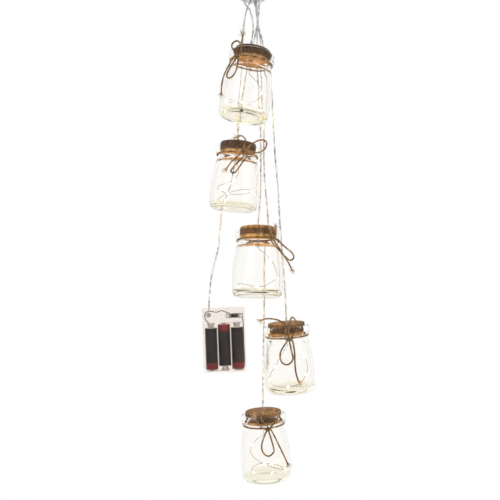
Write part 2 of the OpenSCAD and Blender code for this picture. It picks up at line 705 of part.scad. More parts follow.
// One AA cell: its body, and its nub at the end that points up or down
module cell(k) {
    low_z = cell_up[k] ? bay_low_z + plate_t + spring_len : bay_low_z + plate_t + cell_nub;
    nub_z = cell_up[k] ? low_z + cell_body : low_z - cell_nub;
    color("dimgray") at_box() translate([cell_x[k], cell_y, 0]) {
        translate([0, 0, low_z])
            cylinder(d = cell_d, h = cell_body);
        translate([0, 0, nub_z])
            cylinder(d = cell_nub_d, h = cell_nub);
    }
}

module cell_1() { cell(0); }
module cell_2() { cell(1); }
module cell_3() { cell(2); }

// Sheet contacts: single ones at both ends of the chain, double ones between cells
module contact_plates() {
    low = [bay_low_z, bay_low_z + plate_t];
    high = [bay_top_z - plate_t, bay_top_z];
    color("silver") at_box() {
        block([cell_x[0] - plate_half, cell_x[1] + plate_half], plate_y, low);
        block([cell_x[2] - plate_half, cell_x[2] + plate_half], plate_y, low);
        block([cell_x[0] - plate_half, cell_x[0] + plate_half], plate_y, high);
        block([cell_x[1] - plate_half, cell_x[2] + plate_half], plate_y, high);
    }
}

// A conical spring that stands on a plate
module contact_spring(k) {
    way = cell_up[k] ? 1 : -1;
    base_z = cell_up[k] ? bay_low_z + plate_t + spring_wire_r : bay_top_z - plate_t - spring_wire_r;
    rise = way * (spring_len - 2 * spring_wire_r);
    rings = spring_turns * spring_steps;
    path = [for (i = [0:rings])
        let (t = i / rings, a = 360 * i / spring_steps,
             r = spring_end_r[0] + (spring_end_r[1] - spring_end_r[0]) * t)
        [cell_x[k] + r * cos(a), cell_y + r * sin(a), base_z + rise * t]];
    tube(path, spring_wire_r, 6);
}

module contact_springs() {
    color("silver") at_box()
        for (k = [0:2])
            contact_spring(k);
}

module switch_plate() {
    color("dimgray") at_box() difference() {
        block([switch_at[0] - switch_plate_w / 2, switch_at[0] + switch_plate_w / 2],
              [case_floor_y, case_floor_y + switch_plate_t],
              [switch_at[1] - switch_h / 2, switch_at[1] + switch_h / 2]);
        block([switch_at[0] - knob_slot_w / 2, switch_at[0] + knob_slot_w / 2],
              [case_floor_y - 1, case_floor_y + 1],
              [switch_at[1] - knob_slot_h / 2, switch_at[1] + knob_slot_h / 2]);
        for (s = [-1, 1])
            bar([switch_at[0] + s * ear_pitch / 2, switch_at[1]],
                switch_screw_r + switch_screw_gap, case_floor_y - 1, case_floor_y + 1);
    }
}

module switch_body() {
    y0 = case_floor_y + switch_plate_t;
    half_w = switch_body_w / 2;
    color("black") at_box() difference() {
        block([switch_at[0] - half_w, switch_at[0] + half_w], [y0, switch_back_y],
              [switch_at[1] - switch_h / 2, switch_at[1] + switch_h / 2]);
        block([switch_at[0] - half_w + switch_skin, switch_at[0] + half_w - switch_skin],
              [y0 - 1, y0 + slider_t + 2 * slider_gap],
              [switch_at[1] - knob_slot_h / 2 - TOUCH, switch_at[1] + knob_slot_h / 2 + TOUCH]);
    }
}

module switch_slider() {
    y0 = case_floor_y + switch_plate_t + slider_gap;
    x = switch_at[0] + knob_rest;
    color([0.15, 0.1, 0.08]) at_box() {
        block([x - slider_w / 2, x + slider_w / 2], [y0, y0 + slider_t],
              [switch_at[1] - knob_h / 2, switch_at[1] + knob_h / 2]);
        difference() {
            block([x - knob_w / 2, x + knob_w / 2], [case_front_y - knob_proud, y0 + FLAT],
                  [switch_at[1] - knob_h / 2, switch_at[1] + knob_h / 2]);
            // finger grooves across the knob
            for (s = [-1, 0, 1])
                translate([x + s * knob_w / 4, case_front_y - knob_proud, switch_at[1]])
                    cylinder(r = knob_groove_r, h = knob_h + 1, center = true, $fn = 16);
        }
    }
}

module switch_pins() {
    color("silver") at_box()
        for (s = [-1, 0, 1])
            block([switch_at[0] + s * pin_pitch - pin_half[0],
                   switch_at[0] + s * pin_pitch + pin_half[0]],
                  [switch_back_y, switch_back_y + pin_len],
                  [switch_at[1] - pin_half[1], switch_at[1] + pin_half[1]]);
}

module switch_screws() {
    color("gray") at_box()
        for (s = [-1, 1]) {
            at = [switch_at[0] + s * ear_pitch / 2, switch_at[1]];
            bar(at, switch_screw_r, case_front_y - FLAT,
                case_floor_y + switch_plate_t + screw_through);
            bar(at, switch_head[0], case_front_y - switch_head[1], case_front_y);
        }
}

// The end of the lead inside the box
module lead_tail() {
    color("lightgray") at_box()
        translate([lead_x, 0, tail_low_z])
            cylinder(r = cable_r, h = -tail_low_z);
}

module minus_wire() {
    color("black") at_box() tube(smooth(minus_route, 3), link_d / 2);
}

// Two wires: from the lead to the switch, and from the switch to the last cell
module plus_wires() {
    color("dimgray") at_box() {
        tube(smooth(switch_route, 3), link_d / 2);
        tube(smooth(return_route, 3), link_d / 2);
    }
}

// ---- the pieces ----

hanger();
hanger_plug();
splice_board();
for (n = JARS) {
    jar_cable(n);
    jar_sleeve(n);
    jar_wire(n);
    jar_beads(n);
    jar_cork(n);
    jar_glass(n);
    jar_twine(n);
    jar_bow(n);
}
battery_lead();
lead_tail();
battery_case();
battery_cover();
cover_screw();
cell_1();
cell_2();
cell_3();
contact_plates();
contact_springs();
switch_plate();
switch_body();
switch_slider();
switch_pins();
switch_screws();
minus_wire();
plus_wires();
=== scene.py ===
"""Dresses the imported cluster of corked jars.

It makes the clear cables, pressed glass, corks, jute bows, strings of lights and battery cells, and it gives
every CAD node its material.
"""

import json
import math
import random

import bmesh
import bpy
import numpy as np
from mathutils import Matrix, Vector, noise

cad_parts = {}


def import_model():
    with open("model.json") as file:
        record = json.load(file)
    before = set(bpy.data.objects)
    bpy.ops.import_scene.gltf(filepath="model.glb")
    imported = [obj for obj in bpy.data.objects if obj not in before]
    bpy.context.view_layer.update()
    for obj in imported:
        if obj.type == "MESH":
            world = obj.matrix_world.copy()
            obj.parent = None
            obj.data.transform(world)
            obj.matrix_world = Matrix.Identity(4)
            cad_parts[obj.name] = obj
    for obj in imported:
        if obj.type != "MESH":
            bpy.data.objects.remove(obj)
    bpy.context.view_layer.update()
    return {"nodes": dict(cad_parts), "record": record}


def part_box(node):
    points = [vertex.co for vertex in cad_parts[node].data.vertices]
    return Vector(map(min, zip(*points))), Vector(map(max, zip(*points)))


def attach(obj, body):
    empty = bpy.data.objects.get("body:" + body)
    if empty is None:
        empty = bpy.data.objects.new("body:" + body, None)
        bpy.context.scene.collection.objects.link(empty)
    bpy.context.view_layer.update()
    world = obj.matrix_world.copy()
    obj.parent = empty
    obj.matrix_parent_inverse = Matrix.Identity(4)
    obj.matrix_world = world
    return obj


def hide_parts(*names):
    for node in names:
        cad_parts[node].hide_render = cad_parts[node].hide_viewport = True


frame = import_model()
nodes = frame["nodes"]

# ---- sizes, in metres, as in the CAD source ----

# The glass, whose Z = 0 is the jar's rim
JARS = range(5)
JAR_H = 0.075
LIP_R = 0.026
LIP_H = 0.010
LIP_ROUND = 0.0022
NECK_R = 0.0228
MOUTH_R = 0.021
BODY_R = 0.02875
WALL = 0.0028
FLOOR_T = 0.0045
GROOVE_H = 0.0034
FOOT_ROUND = 0.005
FOOT_INSET = 0.0004
INNER_ROUND = 0.004
SHOULDER_Z = -(LIP_H + GROOVE_H)
WIDEST_UP = 0.017
WIDEST_Z = -(JAR_H - WIDEST_UP)
THROAT_LEDGE = 0.0016
THROAT_R = MOUTH_R - THROAT_LEDGE
THROAT_BEVEL = 0.0003
THROAT_LEN = 0.007

# The cork and what hangs from it
FIT = 0.00005
CORK_LEN = 0.013
CORK_PROUD = 0.0035
CORK_R = MOUTH_R - FIT
CORK_TAPER = 0.0008
CORK_LOW_Z = CORK_PROUD - CORK_LEN
SEAT_GAP = 0.001
CORK_SEAT_Z = CORK_LOW_Z - SEAT_GAP
THROAT_LOW_Z = CORK_SEAT_Z - THROAT_LEN
CABLE_D = 0.0023
HOLE_R = CABLE_D / 2 + FIT
SLEEVE_LEN = 0.009
SLEEVE_LOW_Z = CORK_LOW_Z - SLEEVE_LEN
SWING_GAP = 0.0006  # between a cable and the piece that swings under it
STRAIGHT = 0.008
WIRE_D = 0.0006
BEAD_D = 0.003

# The twine in the groove, and its knot
TWINE_D = 0.002
RING_GAP = 0.0001
RING_DROP = 0.0003
RING_R = NECK_R + TWINE_D / 2 + RING_GAP
RING_Z = -(LIP_H + TWINE_D / 2 + RING_DROP)
KNOT_R = 0.0026
KNOT_OUT = 0.0019
KNOT_DROP = 0.001
KNOT_RING_R = RING_R + KNOT_OUT
KNOT_Z = RING_Z - KNOT_DROP
KNOT_BITE = 0.0003  # a strand enters this far inside the knot's surface
KNOT_CLEAR = 0.8 * TWINE_D  # and runs straight from this far outside it

# The battery box, whose Z = 0 is its top
BOX_H = 0.076
BOX_T = 0.019
BOX_WALL = 0.0015
LEAD_X = -0.0168
BOX_LEAN = -2.2  # degrees
CELL_D = 0.0145
CELL_LEN = 0.0505
CELL_NUB = 0.0013
CELL_PITCH = 0.0154
CELL_GAP = 0.0001
SPRING_LEN = 0.005
PLATE_T = 0.0005
BAY_LOW_Z = -(BOX_H - BOX_WALL)
CELL_Y = -BOX_T / 2 + BOX_WALL + CELL_D / 2 + CELL_GAP

# The hanger
BOARD_LOW_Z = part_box("splice_board")[0].z
PLUG_LOW_Z, PLUG_TOP_Z = (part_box("hanger_plug")[k].z for k in (0, 1))
PLUG_TAIL = 0.002

# Where each jar hangs, and how it leans there: backwards and to the right, in degrees
JAR_AT = [
    (0, -0.02, -0.0895), (-0.017, 0.012, -0.188), (0.006, -0.01, -0.29), (0.038, 0, -0.3975),
    (0.0118, 0.018, -0.5007),
]
JAR_LEAN = [(0, 8.5), (0, 4.5), (-5.5, 1), (4.5, -4), (3, -3.5)]

# Where the cables, and last the battery lead, leave the plug, and their routes from there down
CABLE_EXIT = [
    (0.0085, -0.005), (-0.0025, 0.002), (0.0065, -0.001), (0.002, 0.003), (0.004, 0.007),
    (-0.01, 0.007),
]
CABLE_ROUTE = [
    [
        (0.008, -0.006, -0.027), (0.0065, -0.008, -0.041), (0.0045, -0.012, -0.057),
        (0.002, -0.017, -0.073),
    ],
    [
        (-0.004, 0.0025, -0.024), (-0.0065, 0.003, -0.029), (-0.0095, 0.0045, -0.041),
        (-0.0115, 0.007, -0.058), (-0.013, 0.009, -0.084), (-0.015, 0.01, -0.113),
        (-0.0175, 0.0105, -0.142), (-0.018, 0.0115, -0.165),
    ],
    [
        (0.0065, -0.001, -0.027), (0.006, 0, -0.04), (0.0055, 0.0015, -0.053), (0.005, 0.0065, -0.072),
        (0.006, 0.011, -0.097), (0.0075, 0.0115, -0.126), (0.0085, 0.0105, -0.155),
        (0.009, 0.003, -0.186), (0.009, -0.002, -0.221), (0.0085, -0.006, -0.251),
        (0.007, -0.009, -0.271),
    ],
    [
        (0.0025, 0.003, -0.026), (0.0045, 0.0035, -0.037), (0.0065, 0.0045, -0.05),
        (0.0115, 0.006, -0.07), (0.0175, 0.008, -0.098), (0.022, 0.008, -0.128),
        (0.0235, 0.0075, -0.161), (0.026, 0.007, -0.203), (0.0285, 0.0065, -0.235),
        (0.0305, 0.006, -0.267), (0.0325, 0.0055, -0.301), (0.035, 0.0045, -0.33),
        (0.037, 0.0025, -0.362),
    ],
    [
        (0.0045, 0.0075, -0.026), (0.005, 0.008, -0.035), (0.0065, 0.009, -0.048),
        (0.0095, 0.011, -0.07), (0.0115, 0.0125, -0.101), (0.0125, 0.0125, -0.136),
        (0.013, 0.012, -0.169), (0.013, 0.013, -0.204), (0.014, 0.015, -0.233), (0.0165, 0.017, -0.26),
        (0.018, 0.0195, -0.281), (0.0165, 0.021, -0.299), (0.0145, 0.022, -0.32),
        (0.014, 0.023, -0.349), (0.0135, 0.025, -0.376), (0.013, 0.027, -0.412),
        (0.0125, 0.027, -0.444), (0.012, 0.0235, -0.474),
    ],
]
BOX_PIVOT = (-0.052, 0.028, -0.381)
LEAD_ROUTE = [
    (-0.0085, 0.0075, -0.0235), (-0.004, 0.009, -0.0285), (-0.0015, 0.0105, -0.036),
    (0.0005, 0.0125, -0.047), (0, 0.0145, -0.056), (-0.002, 0.017, -0.065), (-0.006, 0.021, -0.086),
    (-0.0105, 0.027, -0.113), (-0.015, 0.035, -0.14), (-0.0175, 0.041, -0.163),
    (-0.0205, 0.044, -0.187), (-0.024, 0.046, -0.213), (-0.0265, 0.0465, -0.228),
    (-0.031, 0.0465, -0.24), (-0.037, 0.0465, -0.251), (-0.0385, 0.046, -0.264),
    (-0.039, 0.0445, -0.277), (-0.04, 0.042, -0.29), (-0.042, 0.0375, -0.311),
    (-0.0465, 0.0335, -0.329), (-0.0495, 0.0305, -0.345), (-0.051, 0.029, -0.359),
]

# Routes of the light wires in each jar's own coordinates, and the points that carry a bead
WIRE_ROUTE = [
    [
        (0, -0.001, -0.024), (0.005, -0.005, -0.029), (0.012, -0.005, -0.035), (0.017, 0.005, -0.042),
        (0.012, 0.015, -0.047), (0, 0.02, -0.051), (-0.014, 0.015, -0.054), (-0.0205, 0.002, -0.057),
        (-0.015, -0.014, -0.06), (-0.002, -0.0205, -0.063), (0.012, -0.016, -0.0655),
        (0.017, -0.005, -0.066),
    ],
    [
        (0.001, -0.002, -0.023), (0.003, -0.009, -0.027), (0.003, -0.015, -0.035),
        (-0.001, -0.018, -0.043), (-0.009, -0.018, -0.047), (-0.019, -0.008, -0.05),
        (-0.018, 0.009, -0.052), (-0.004, 0.02, -0.053), (0.013, 0.016, -0.052), (0.02, 0.001, -0.051),
        (0.014, -0.015, -0.052), (0.004, -0.0205, -0.055), (-0.007, -0.02, -0.059),
        (-0.016, -0.013, -0.064), (-0.019, 0.001, -0.066), (-0.011, 0.014, -0.066),
    ],
    [
        (0.002, -0.002, -0.022), (0.008, -0.008, -0.027), (0.014, -0.012, -0.035),
        (0.019, -0.0095, -0.042), (0.0215, 0, -0.046), (0.0225, 0.002, -0.051),
        (0.0215, -0.009, -0.055), (0.015, -0.017, -0.06), (0.008, -0.0205, -0.0645),
        (-0.001, -0.021, -0.066), (-0.012, -0.018, -0.0635), (-0.02, -0.008, -0.061),
        (-0.021, 0.006, -0.063), (-0.012, 0.018, -0.0655), (0.003, 0.019, -0.066),
    ],
    [
        (-0.002, -0.004, -0.023), (-0.007, -0.012, -0.029), (-0.012, -0.016, -0.036),
        (-0.0155, -0.014, -0.0435), (-0.0215, -0.009, -0.052), (-0.0225, -0.003, -0.06),
        (-0.0205, -0.007, -0.065), (-0.014, -0.014, -0.066), (-0.004, -0.02, -0.066),
        (0.009, -0.019, -0.0635), (0.017, -0.015, -0.0545), (0.0205, -0.007, -0.0455),
        (0.017, -0.009, -0.036),
    ],
    [
        (-0.001, -0.002, -0.022), (-0.008, -0.006, -0.027), (-0.015, -0.008, -0.033),
        (-0.017, -0.011, -0.0385), (-0.015, -0.016, -0.0435), (-0.01, -0.02, -0.0475),
        (-0.002, -0.0215, -0.052), (0.008, -0.0205, -0.057), (0.0165, -0.0155, -0.061),
        (0.0215, -0.004, -0.0655), (0.019, 0.009, -0.066), (0.007, 0.018, -0.065),
        (-0.008, 0.018, -0.0635), (-0.017, 0.008, -0.065), (-0.015, -0.004, -0.066),
    ],
]
WIRE_BEADS = [(3, 5, 7, 9, 11), (3, 6, 9, 12, 15), (2, 6, 9, 12, 14), (3, 5, 8, 10, 12), (2, 6, 9, 11, 14)]

# Bows: how far each knot is turned round its jar from the front, in degrees, and then an upper tail,
# an upper loop, a lower loop and a lower tail in the jar's own coordinates
KNOT_TURN = [-35, 19, 36, 1, 9]
BOW_ROUTE = [
    [
        [(-0.0125, -0.027, 0.0015), (-0.0125, -0.0245, 0.01)],
        [
            (-0.022, -0.027, -0.006), (-0.0215, -0.028, -0.0015), (-0.0165, -0.029, 0.001),
            (-0.012, -0.029, -0.004),
        ],
        [
            (-0.0225, -0.019, -0.029), (-0.023, -0.0215, -0.037), (-0.018, -0.026, -0.039),
            (-0.0135, -0.027, -0.03),
        ],
        [(-0.0255, -0.015, -0.028), (-0.028, -0.0135, -0.041), (-0.027, -0.016, -0.054)],
    ],
    [
        [(0.009, -0.0275, 0.001), (0.004, -0.0255, 0.007), (-0.001, -0.022, 0.006)],
        [
            (0.019, -0.024, 0.001), (0.028, -0.022, 0.005), (0.033, -0.021, 0.002),
            (0.031, -0.02, -0.005), (0.024, -0.02, -0.0095),
        ],
        [
            (-0.0015, -0.0295, -0.029), (-0.005, -0.0315, -0.0355), (-0.001, -0.0315, -0.037),
            (0.0035, -0.0305, -0.031),
        ],
        [(-0.005, -0.028, -0.024), (-0.01, -0.0275, -0.032)],
    ],
    [
        [(0.0185, -0.0255, -0.0025)],
        [
            (0.0045, -0.029, -0.009), (0.0025, -0.028, -0.003), (0.008, -0.0275, 0),
            (0.0135, -0.027, -0.004),
        ],
        [
            (0.03, -0.02, -0.0215), (0.037, -0.021, -0.0275), (0.039, -0.023, -0.0335),
            (0.0345, -0.0245, -0.0365), (0.0265, -0.026, -0.03),
        ],
        [(0.026, -0.022, -0.0275), (0.033, -0.021, -0.038), (0.0365, -0.021, -0.045)],
    ],
    [
        [
            (-0.0025, -0.0275, 0.003), (-0.008, -0.0265, 0.009), (-0.0155, -0.024, 0.0115),
            (-0.0225, -0.021, 0.012), (-0.028, -0.018, 0.0105),
        ],
        [
            (0.002, -0.0295, 0.005), (0.0045, -0.029, 0.012), (0.0075, -0.0285, 0.011),
            (0.01, -0.028, 0.0055), (0.0085, -0.028, -0.004),
        ],
        [
            (-0.01, -0.027, -0.026), (-0.0095, -0.0295, -0.036), (-0.003, -0.032, -0.039),
            (0.003, -0.032, -0.0335), (0.002, -0.0305, -0.024),
        ],
        [
            (0.0055, -0.0285, -0.026), (0.005, -0.0305, -0.039), (0.0055, -0.031, -0.05),
            (0.0075, -0.0305, -0.058),
        ],
    ],
    [
        [(-0.005, -0.0285, -0.007), (-0.009, -0.027, 0.0005)],
        [
            (0.015, -0.0255, -0.0015), (0.015, -0.0265, 0.007), (0.0095, -0.027, 0.0105),
            (0.002, -0.028, 0.009), (-0.003, -0.0285, 0.005), (-0.0015, -0.0285, -0.002),
        ],
        [
            (-0.004, -0.0285, -0.028), (-0.003, -0.031, -0.0365), (0.003, -0.032, -0.0405),
            (0.009, -0.0305, -0.036), (0.008, -0.0295, -0.027),
        ],
        [(0.0145, -0.0255, -0.029), (0.0205, -0.0235, -0.044), (0.024, -0.02, -0.054)],
    ],
]
# Which way each end of a strand leaves its knot: across, outwards, up
BOW_LEAVE = [
    [
        [(0.3, 2.4, 1.6)],
        [(-1.9, 0.9, 2.6), (2.8, 0.4, 1.2)],
        [(-1.2, 0.6, -2.8), (1.6, 0.8, -2.4)],
        [(-2.9, 0.8, -0.6)],
    ],
    [
        [(-1.8, 1.2, 2)],
        [(0.8, 1, 2.8), (2.9, 0.4, 0.9)],
        [(-0.7, 0.9, -2.7), (2, 0.9, -1.9)],
        [(-2.9, 0.6, -0.8)],
    ],
    [
        [(0.9, 1.3, 2.6)],
        [(-3, 0.6, -0.4), (-1.9, 0.7, 2.2)],
        [(2.9, 0.6, 0.5), (-1, 1, -2.7)],
        [(1.8, 0.8, -2.1)],
    ],
    [
        [(-2.8, 0.5, 1.1)],
        [(-0.4, 1.2, 2.7), (2.3, 0.5, 1.9)],
        [(-2.2, 0.7, -1.9), (0.5, 1.1, -2.8)],
        [(2.8, 0.7, -1.2)],
    ],
    [
        [(-2.8, 0.6, 0.8)],
        [(2.3, 0.5, 1.9), (-0.4, 1.2, 2.7)],
        [(-2, 0.8, -2.1), (0.7, 1.1, -2.7)],
        [(2.8, 0.6, -1)],
    ],
]

# ---- curves and meshes ----

ASIDE = (0.31, 0.94, 0.12)  # a direction in which no line starts


def between(a, b, c, d, t):
    """A point on the Catmull-Rom curve between b and c."""
    return (
        2 * b + (c - a) * t + (2 * a - 5 * b + 4 * c - d) * t * t
        + (3 * b - 3 * c + d - a) * t * t * t
    ) / 2


def smooth(route, steps=8):
    """The route with steps - 1 points added between each two of its own."""
    p = [np.array(q, float) for q in route]
    last = len(p) - 1
    made = [
        between(p[max(i - 1, 0)], p[i], p[i + 1], p[min(i + 2, last)], k / steps)
        for i in range(last)
        for k in range(steps)
    ]
    return np.array(made + [p[last]])


def along(points):
    """How far along the line each of its points is."""
    return np.concatenate([[0], np.cumsum(np.linalg.norm(np.diff(points, axis=0), axis=1))])


def even(points, step):
    """The same line with points about a step apart."""
    s = along(points)
    t = np.linspace(0, s[-1], max(2, int(s[-1] / step) + 1))
    return np.stack([np.interp(t, s, points[:, k]) for k in range(3)], axis=1)


def sides_of(points):
    """Two directions across the line at every point, turned as little as possible on the way."""
    t = np.gradient(points, axis=0)
    t /= np.linalg.norm(t, axis=1)[:, None]
    u = np.cross(t[0], ASIDE)
    us = []
    for way in t:
        u = u - way * (u @ way)
        u = u / np.linalg.norm(u)
        us.append(u)
    us = np.array(us)
    return us, np.cross(t, us)


class Shape:
    """Vertices and faces that are put together and then made into one piece."""

    def __init__(self):
        self.points = []
        self.faces = []

    def tube(self, line, radius, sides, frames=None):
        """A closed tube round the line. The radius is one number or one at each point."""
        u, v = frames or sides_of(line)
        a = np.arange(sides) * 2 * math.pi / sides
        r = np.broadcast_to(radius, len(line))[:, None, None]
        ring = np.cos(a)[None, :, None] * u[:, None] + np.sin(a)[None, :, None] * v[:, None]
        start = len(self.points)
        self.points += [tuple(q) for q in (line[:, None] + r * ring).reshape(-1, 3)]
        for i in range(len(line) - 1):
            for k in range(sides):
                a0 = start + i * sides + k
                a1 = start + i * sides + (k + 1) % sides
                self.faces.append((a0, a1, a1 + sides, a0 + sides))
        last = start + (len(line) - 1) * sides
        self.faces.append(tuple(range(start + sides - 1, start - 1, -1)))
        self.faces.append(tuple(range(last, last + sides)))

    def rope(self, line, radius, plies, pitch, sides, fat):
        """Plies laid round each other along the line, all inside the radius.

        At fat = 1 they just touch. With more they press into each other.
        """
        share = 1 / (1 + 1 / math.sin(math.pi / plies))
        ply_r = radius * share
        u, v = sides_of(line)
        s = along(line)
        for k in range(plies):
            a = 2 * math.pi * (s / pitch + k / plies)
            out = np.cos(a)[:, None] * u + np.sin(a)[:, None] * v
            self.tube(line + out * (radius - ply_r * fat), ply_r * fat, sides, (u, v))

    def lathe(self, outline, sides, bend=None):
        """The outline, (radius, height) pairs, turned round Z.

        bend(angle, index, r, z) gives the r and z that a point really has.
        """
        start = len(self.points)
        for k in range(sides):
            a = 2 * math.pi * k / sides
            for i, (r, z) in enumerate(outline):
                if bend:
                    r, z = bend(a, i, r, z)
                self.points.append((r * math.cos(a), r * math.sin(a), z))
        n = len(outline)
        for k in range(sides):
            for i in range(n - 1):
                a0 = start + k * n + i
                a1 = start + (k + 1) % sides * n + i
                self.faces.append((a0, a1, a1 + 1, a0 + 1))

    def piece(self, name, material, body, slot, replaced=(), place=None):
        """The finished piece, which rides on a body and stands for the CAD nodes named in replaced."""
        mesh = bpy.data.meshes.new(name)
        mesh.from_pydata(self.points, [], self.faces)
        solid = bmesh.new()
        solid.from_mesh(mesh)
        bmesh.ops.recalc_face_normals(solid, faces=solid.faces)
        solid.to_mesh(mesh)
        solid.free()
        mesh.polygons.foreach_set("use_smooth", [True] * len(mesh.polygons))
        mesh.materials.append(MATERIALS[material])
        obj = bpy.data.objects.new(name, mesh)
        bpy.context.scene.collection.objects.link(obj)
        if place is not None:
            obj.matrix_world = place
        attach(obj, body)
        if replaced:
            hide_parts(*replaced)
        return obj


def arc(centre, radius, start, end, count=8):
    """Points of an arc from one angle to another, in degrees."""
    turns = [math.radians(start + (end - start) * k / count) for k in range(count + 1)]
    return [(centre[0] + radius * math.cos(t), centre[1] + radius * math.sin(t)) for t in turns]


def jar_place(n):
    """The place of a jar's own coordinates, whose Z = 0 is its rim."""
    back, right = (math.radians(a) for a in JAR_LEAN[n])
    turn = Matrix.Rotation(right, 4, "Y") @ Matrix.Rotation(back, 4, "X")
    return Matrix.Translation(JAR_AT[n]) @ turn @ Matrix.Translation((0, 0, -CORK_PROUD))


def box_place():
    """The place of the battery box's own coordinates, whose Z = 0 is its top."""
    turn = Matrix.Rotation(math.radians(BOX_LEAN), 4, "Y")
    return Matrix.Translation(BOX_PIVOT) @ turn @ Matrix.Translation((-LEAD_X, 0, 0))


def moved(points, place):
    """The points of a place's own coordinates, in the frame's."""
    return np.array([tuple(place @ Vector(p)) for p in points])


# ---- nodes of the materials ----


def add_node(tree, kind, inputs=(), **settings):
    """A node with its settings made and its inputs set or linked.

    An input goes by its name, or by its number where the node has two of one name.
    """
    made = tree.nodes.new(kind)
    for key, value in settings.items():
        setattr(made, key, value)
    for key, value in dict(inputs).items():
        if isinstance(value, bpy.types.NodeSocket):
            tree.links.new(value, made.inputs[key])
        else:
            made.inputs[key].default_value = value
    return made


def ramp(tree, factor, *stops, interpolation="LINEAR"):
    """Colours by a number. Each stop is its place and its colour."""
    made = add_node(tree, "ShaderNodeValToRGB", {"Fac": factor})
    made.color_ramp.interpolation = interpolation
    while len(made.color_ramp.elements) < len(stops):
        made.color_ramp.elements.new(0.5)
    for element, (at, colour) in zip(made.color_ramp.elements, stops):
        element.position = at
        element.color = (*colour, 1)
    return made.outputs["Color"]


def own_place(tree):
    """The place in the piece's own coordinates."""
    return add_node(tree, "ShaderNodeTexCoord").outputs["Object"]


def height_in(tree):
    """The height in the piece's own coordinates."""
    return add_node(tree, "ShaderNodeSeparateXYZ", {"Vector": own_place(tree)}).outputs["Z"]


def noise_in(tree, where, scale, detail):
    """Soft noise. The scale is about how many spots lie on a metre."""
    inputs = {"Vector": where, "Scale": scale, "Detail": detail}
    return add_node(tree, "ShaderNodeTexNoise", inputs).outputs["Fac"]


def mixed(tree, share, a, b, **settings):
    """Two numbers, or with data_type="RGBA" two colours: a where the share is 0 and b where it is 1."""
    return add_node(tree, "ShaderNodeMix", {"Factor": share, "A": a, "B": b}, **settings).outputs["Result"]


def mapped(tree, value, low, high, to_low=0.0, to_high=1.0, **settings):
    """The value with the range from low to high stretched to the other range, and cut off at its ends."""
    inputs = {"Value": value, "From Min": low, "From Max": high, "To Min": to_low, "To Max": to_high}
    return add_node(tree, "ShaderNodeMapRange", inputs, **settings).outputs["Result"]


def computed(tree, operation, a, b):
    """The operation, such as MAXIMUM, on two numbers."""
    return add_node(tree, "ShaderNodeMath", {0: a, 1: b}, operation=operation).outputs["Value"]


def bumped(tree, surface, height, distance, strength):
    """Makes the surface look as rough as the height says."""
    bump = add_node(tree, "ShaderNodeBump", {"Height": height, "Distance": distance, "Strength": strength})
    tree.links.new(bump.outputs["Normal"], surface.inputs["Normal"])


def show(tree, output, share, one, other):
    """Gives the tree's output one shader where the share is 0 and the other where it is 1."""
    both = add_node(tree, "ShaderNodeMixShader", {0: share, 1: one.outputs[0], 2: other.outputs[0]})
    tree.links.new(both.outputs[0], tree.nodes[output].inputs["Surface"])


def seen_rays(tree):
    """1 for the rays that show the background: straight from the camera, or by way of gloss or glass."""
    path = add_node(tree, "ShaderNodeLightPath")
    direct = computed(tree, "MAXIMUM", path.outputs["Is Camera Ray"], path.outputs["Is Glossy Ray"])
    return computed(tree, "MAXIMUM", direct, path.outputs["Is Transmission Ray"])


# ---- materials ----

DEEPEST = 5.0  # bounces after which a ray goes straight on through glass
GLASS_IOR = 1.3
RIM_IOR = 1.1  # with more, the thin rims show as white bands
# Painted shade: a grey that is mixed into the glass's colour along its outline
PAINTED_OUTLINE_SHADE = (0.46, 0.455, 0.42)
PAINTED_SHADE_FROM = 0.55  # how far the glass is turned from the camera where its painted outline shade starts
PAINTED_SHADE_MOST = 0.75
PAINTED_FOOT_GLOW_H = FLOOR_T * 2  # how far up the jar the painted yellow glow of the lights on its foot reaches
BLACK = (0, 0, 0)
WHITE = (1, 1, 1)


def new_material(name, **inputs):
    """A material, its tree and its surface. The surface's inputs are named with _ for a blank."""
    material = bpy.data.materials.new(name)
    material.use_nodes = True
    tree = material.node_tree
    surface = tree.nodes["Principled BSDF"]
    for key, value in inputs.items():
        surface.inputs[key.replace("_", " ")].default_value = value
    return material, tree, surface


def plain(name, colour, roughness, **inputs):
    """A material of one colour."""
    return new_material(name, Base_Color=(*colour, 1), Roughness=roughness, **inputs)[0]


def clear(name, colour, roughness, ior, shade, edge, alpha=1.0):
    """Glass or clear plastic. Lamps go straight through it, dimmed to shade.

    So does light that is caught inside, dimmed to edge.
    """
    material, tree, surface = new_material(
        name, Base_Color=(*colour, 1), Roughness=roughness, IOR=ior, Alpha=alpha, Transmission_Weight=1.0
    )
    path = add_node(tree, "ShaderNodeLightPath")
    lamps = path.outputs["Is Shadow Ray"]
    tint = mixed(tree, lamps, (*edge, 1), (*shade, 1), data_type="RGBA")
    through = add_node(tree, "ShaderNodeBsdfTransparent", {"Color": tint})
    caught = computed(tree, "GREATER_THAN", path.outputs["Ray Depth"], DEEPEST)
    show(tree, "Material Output", computed(tree, "MAXIMUM", lamps, caught), surface, through)
    return material


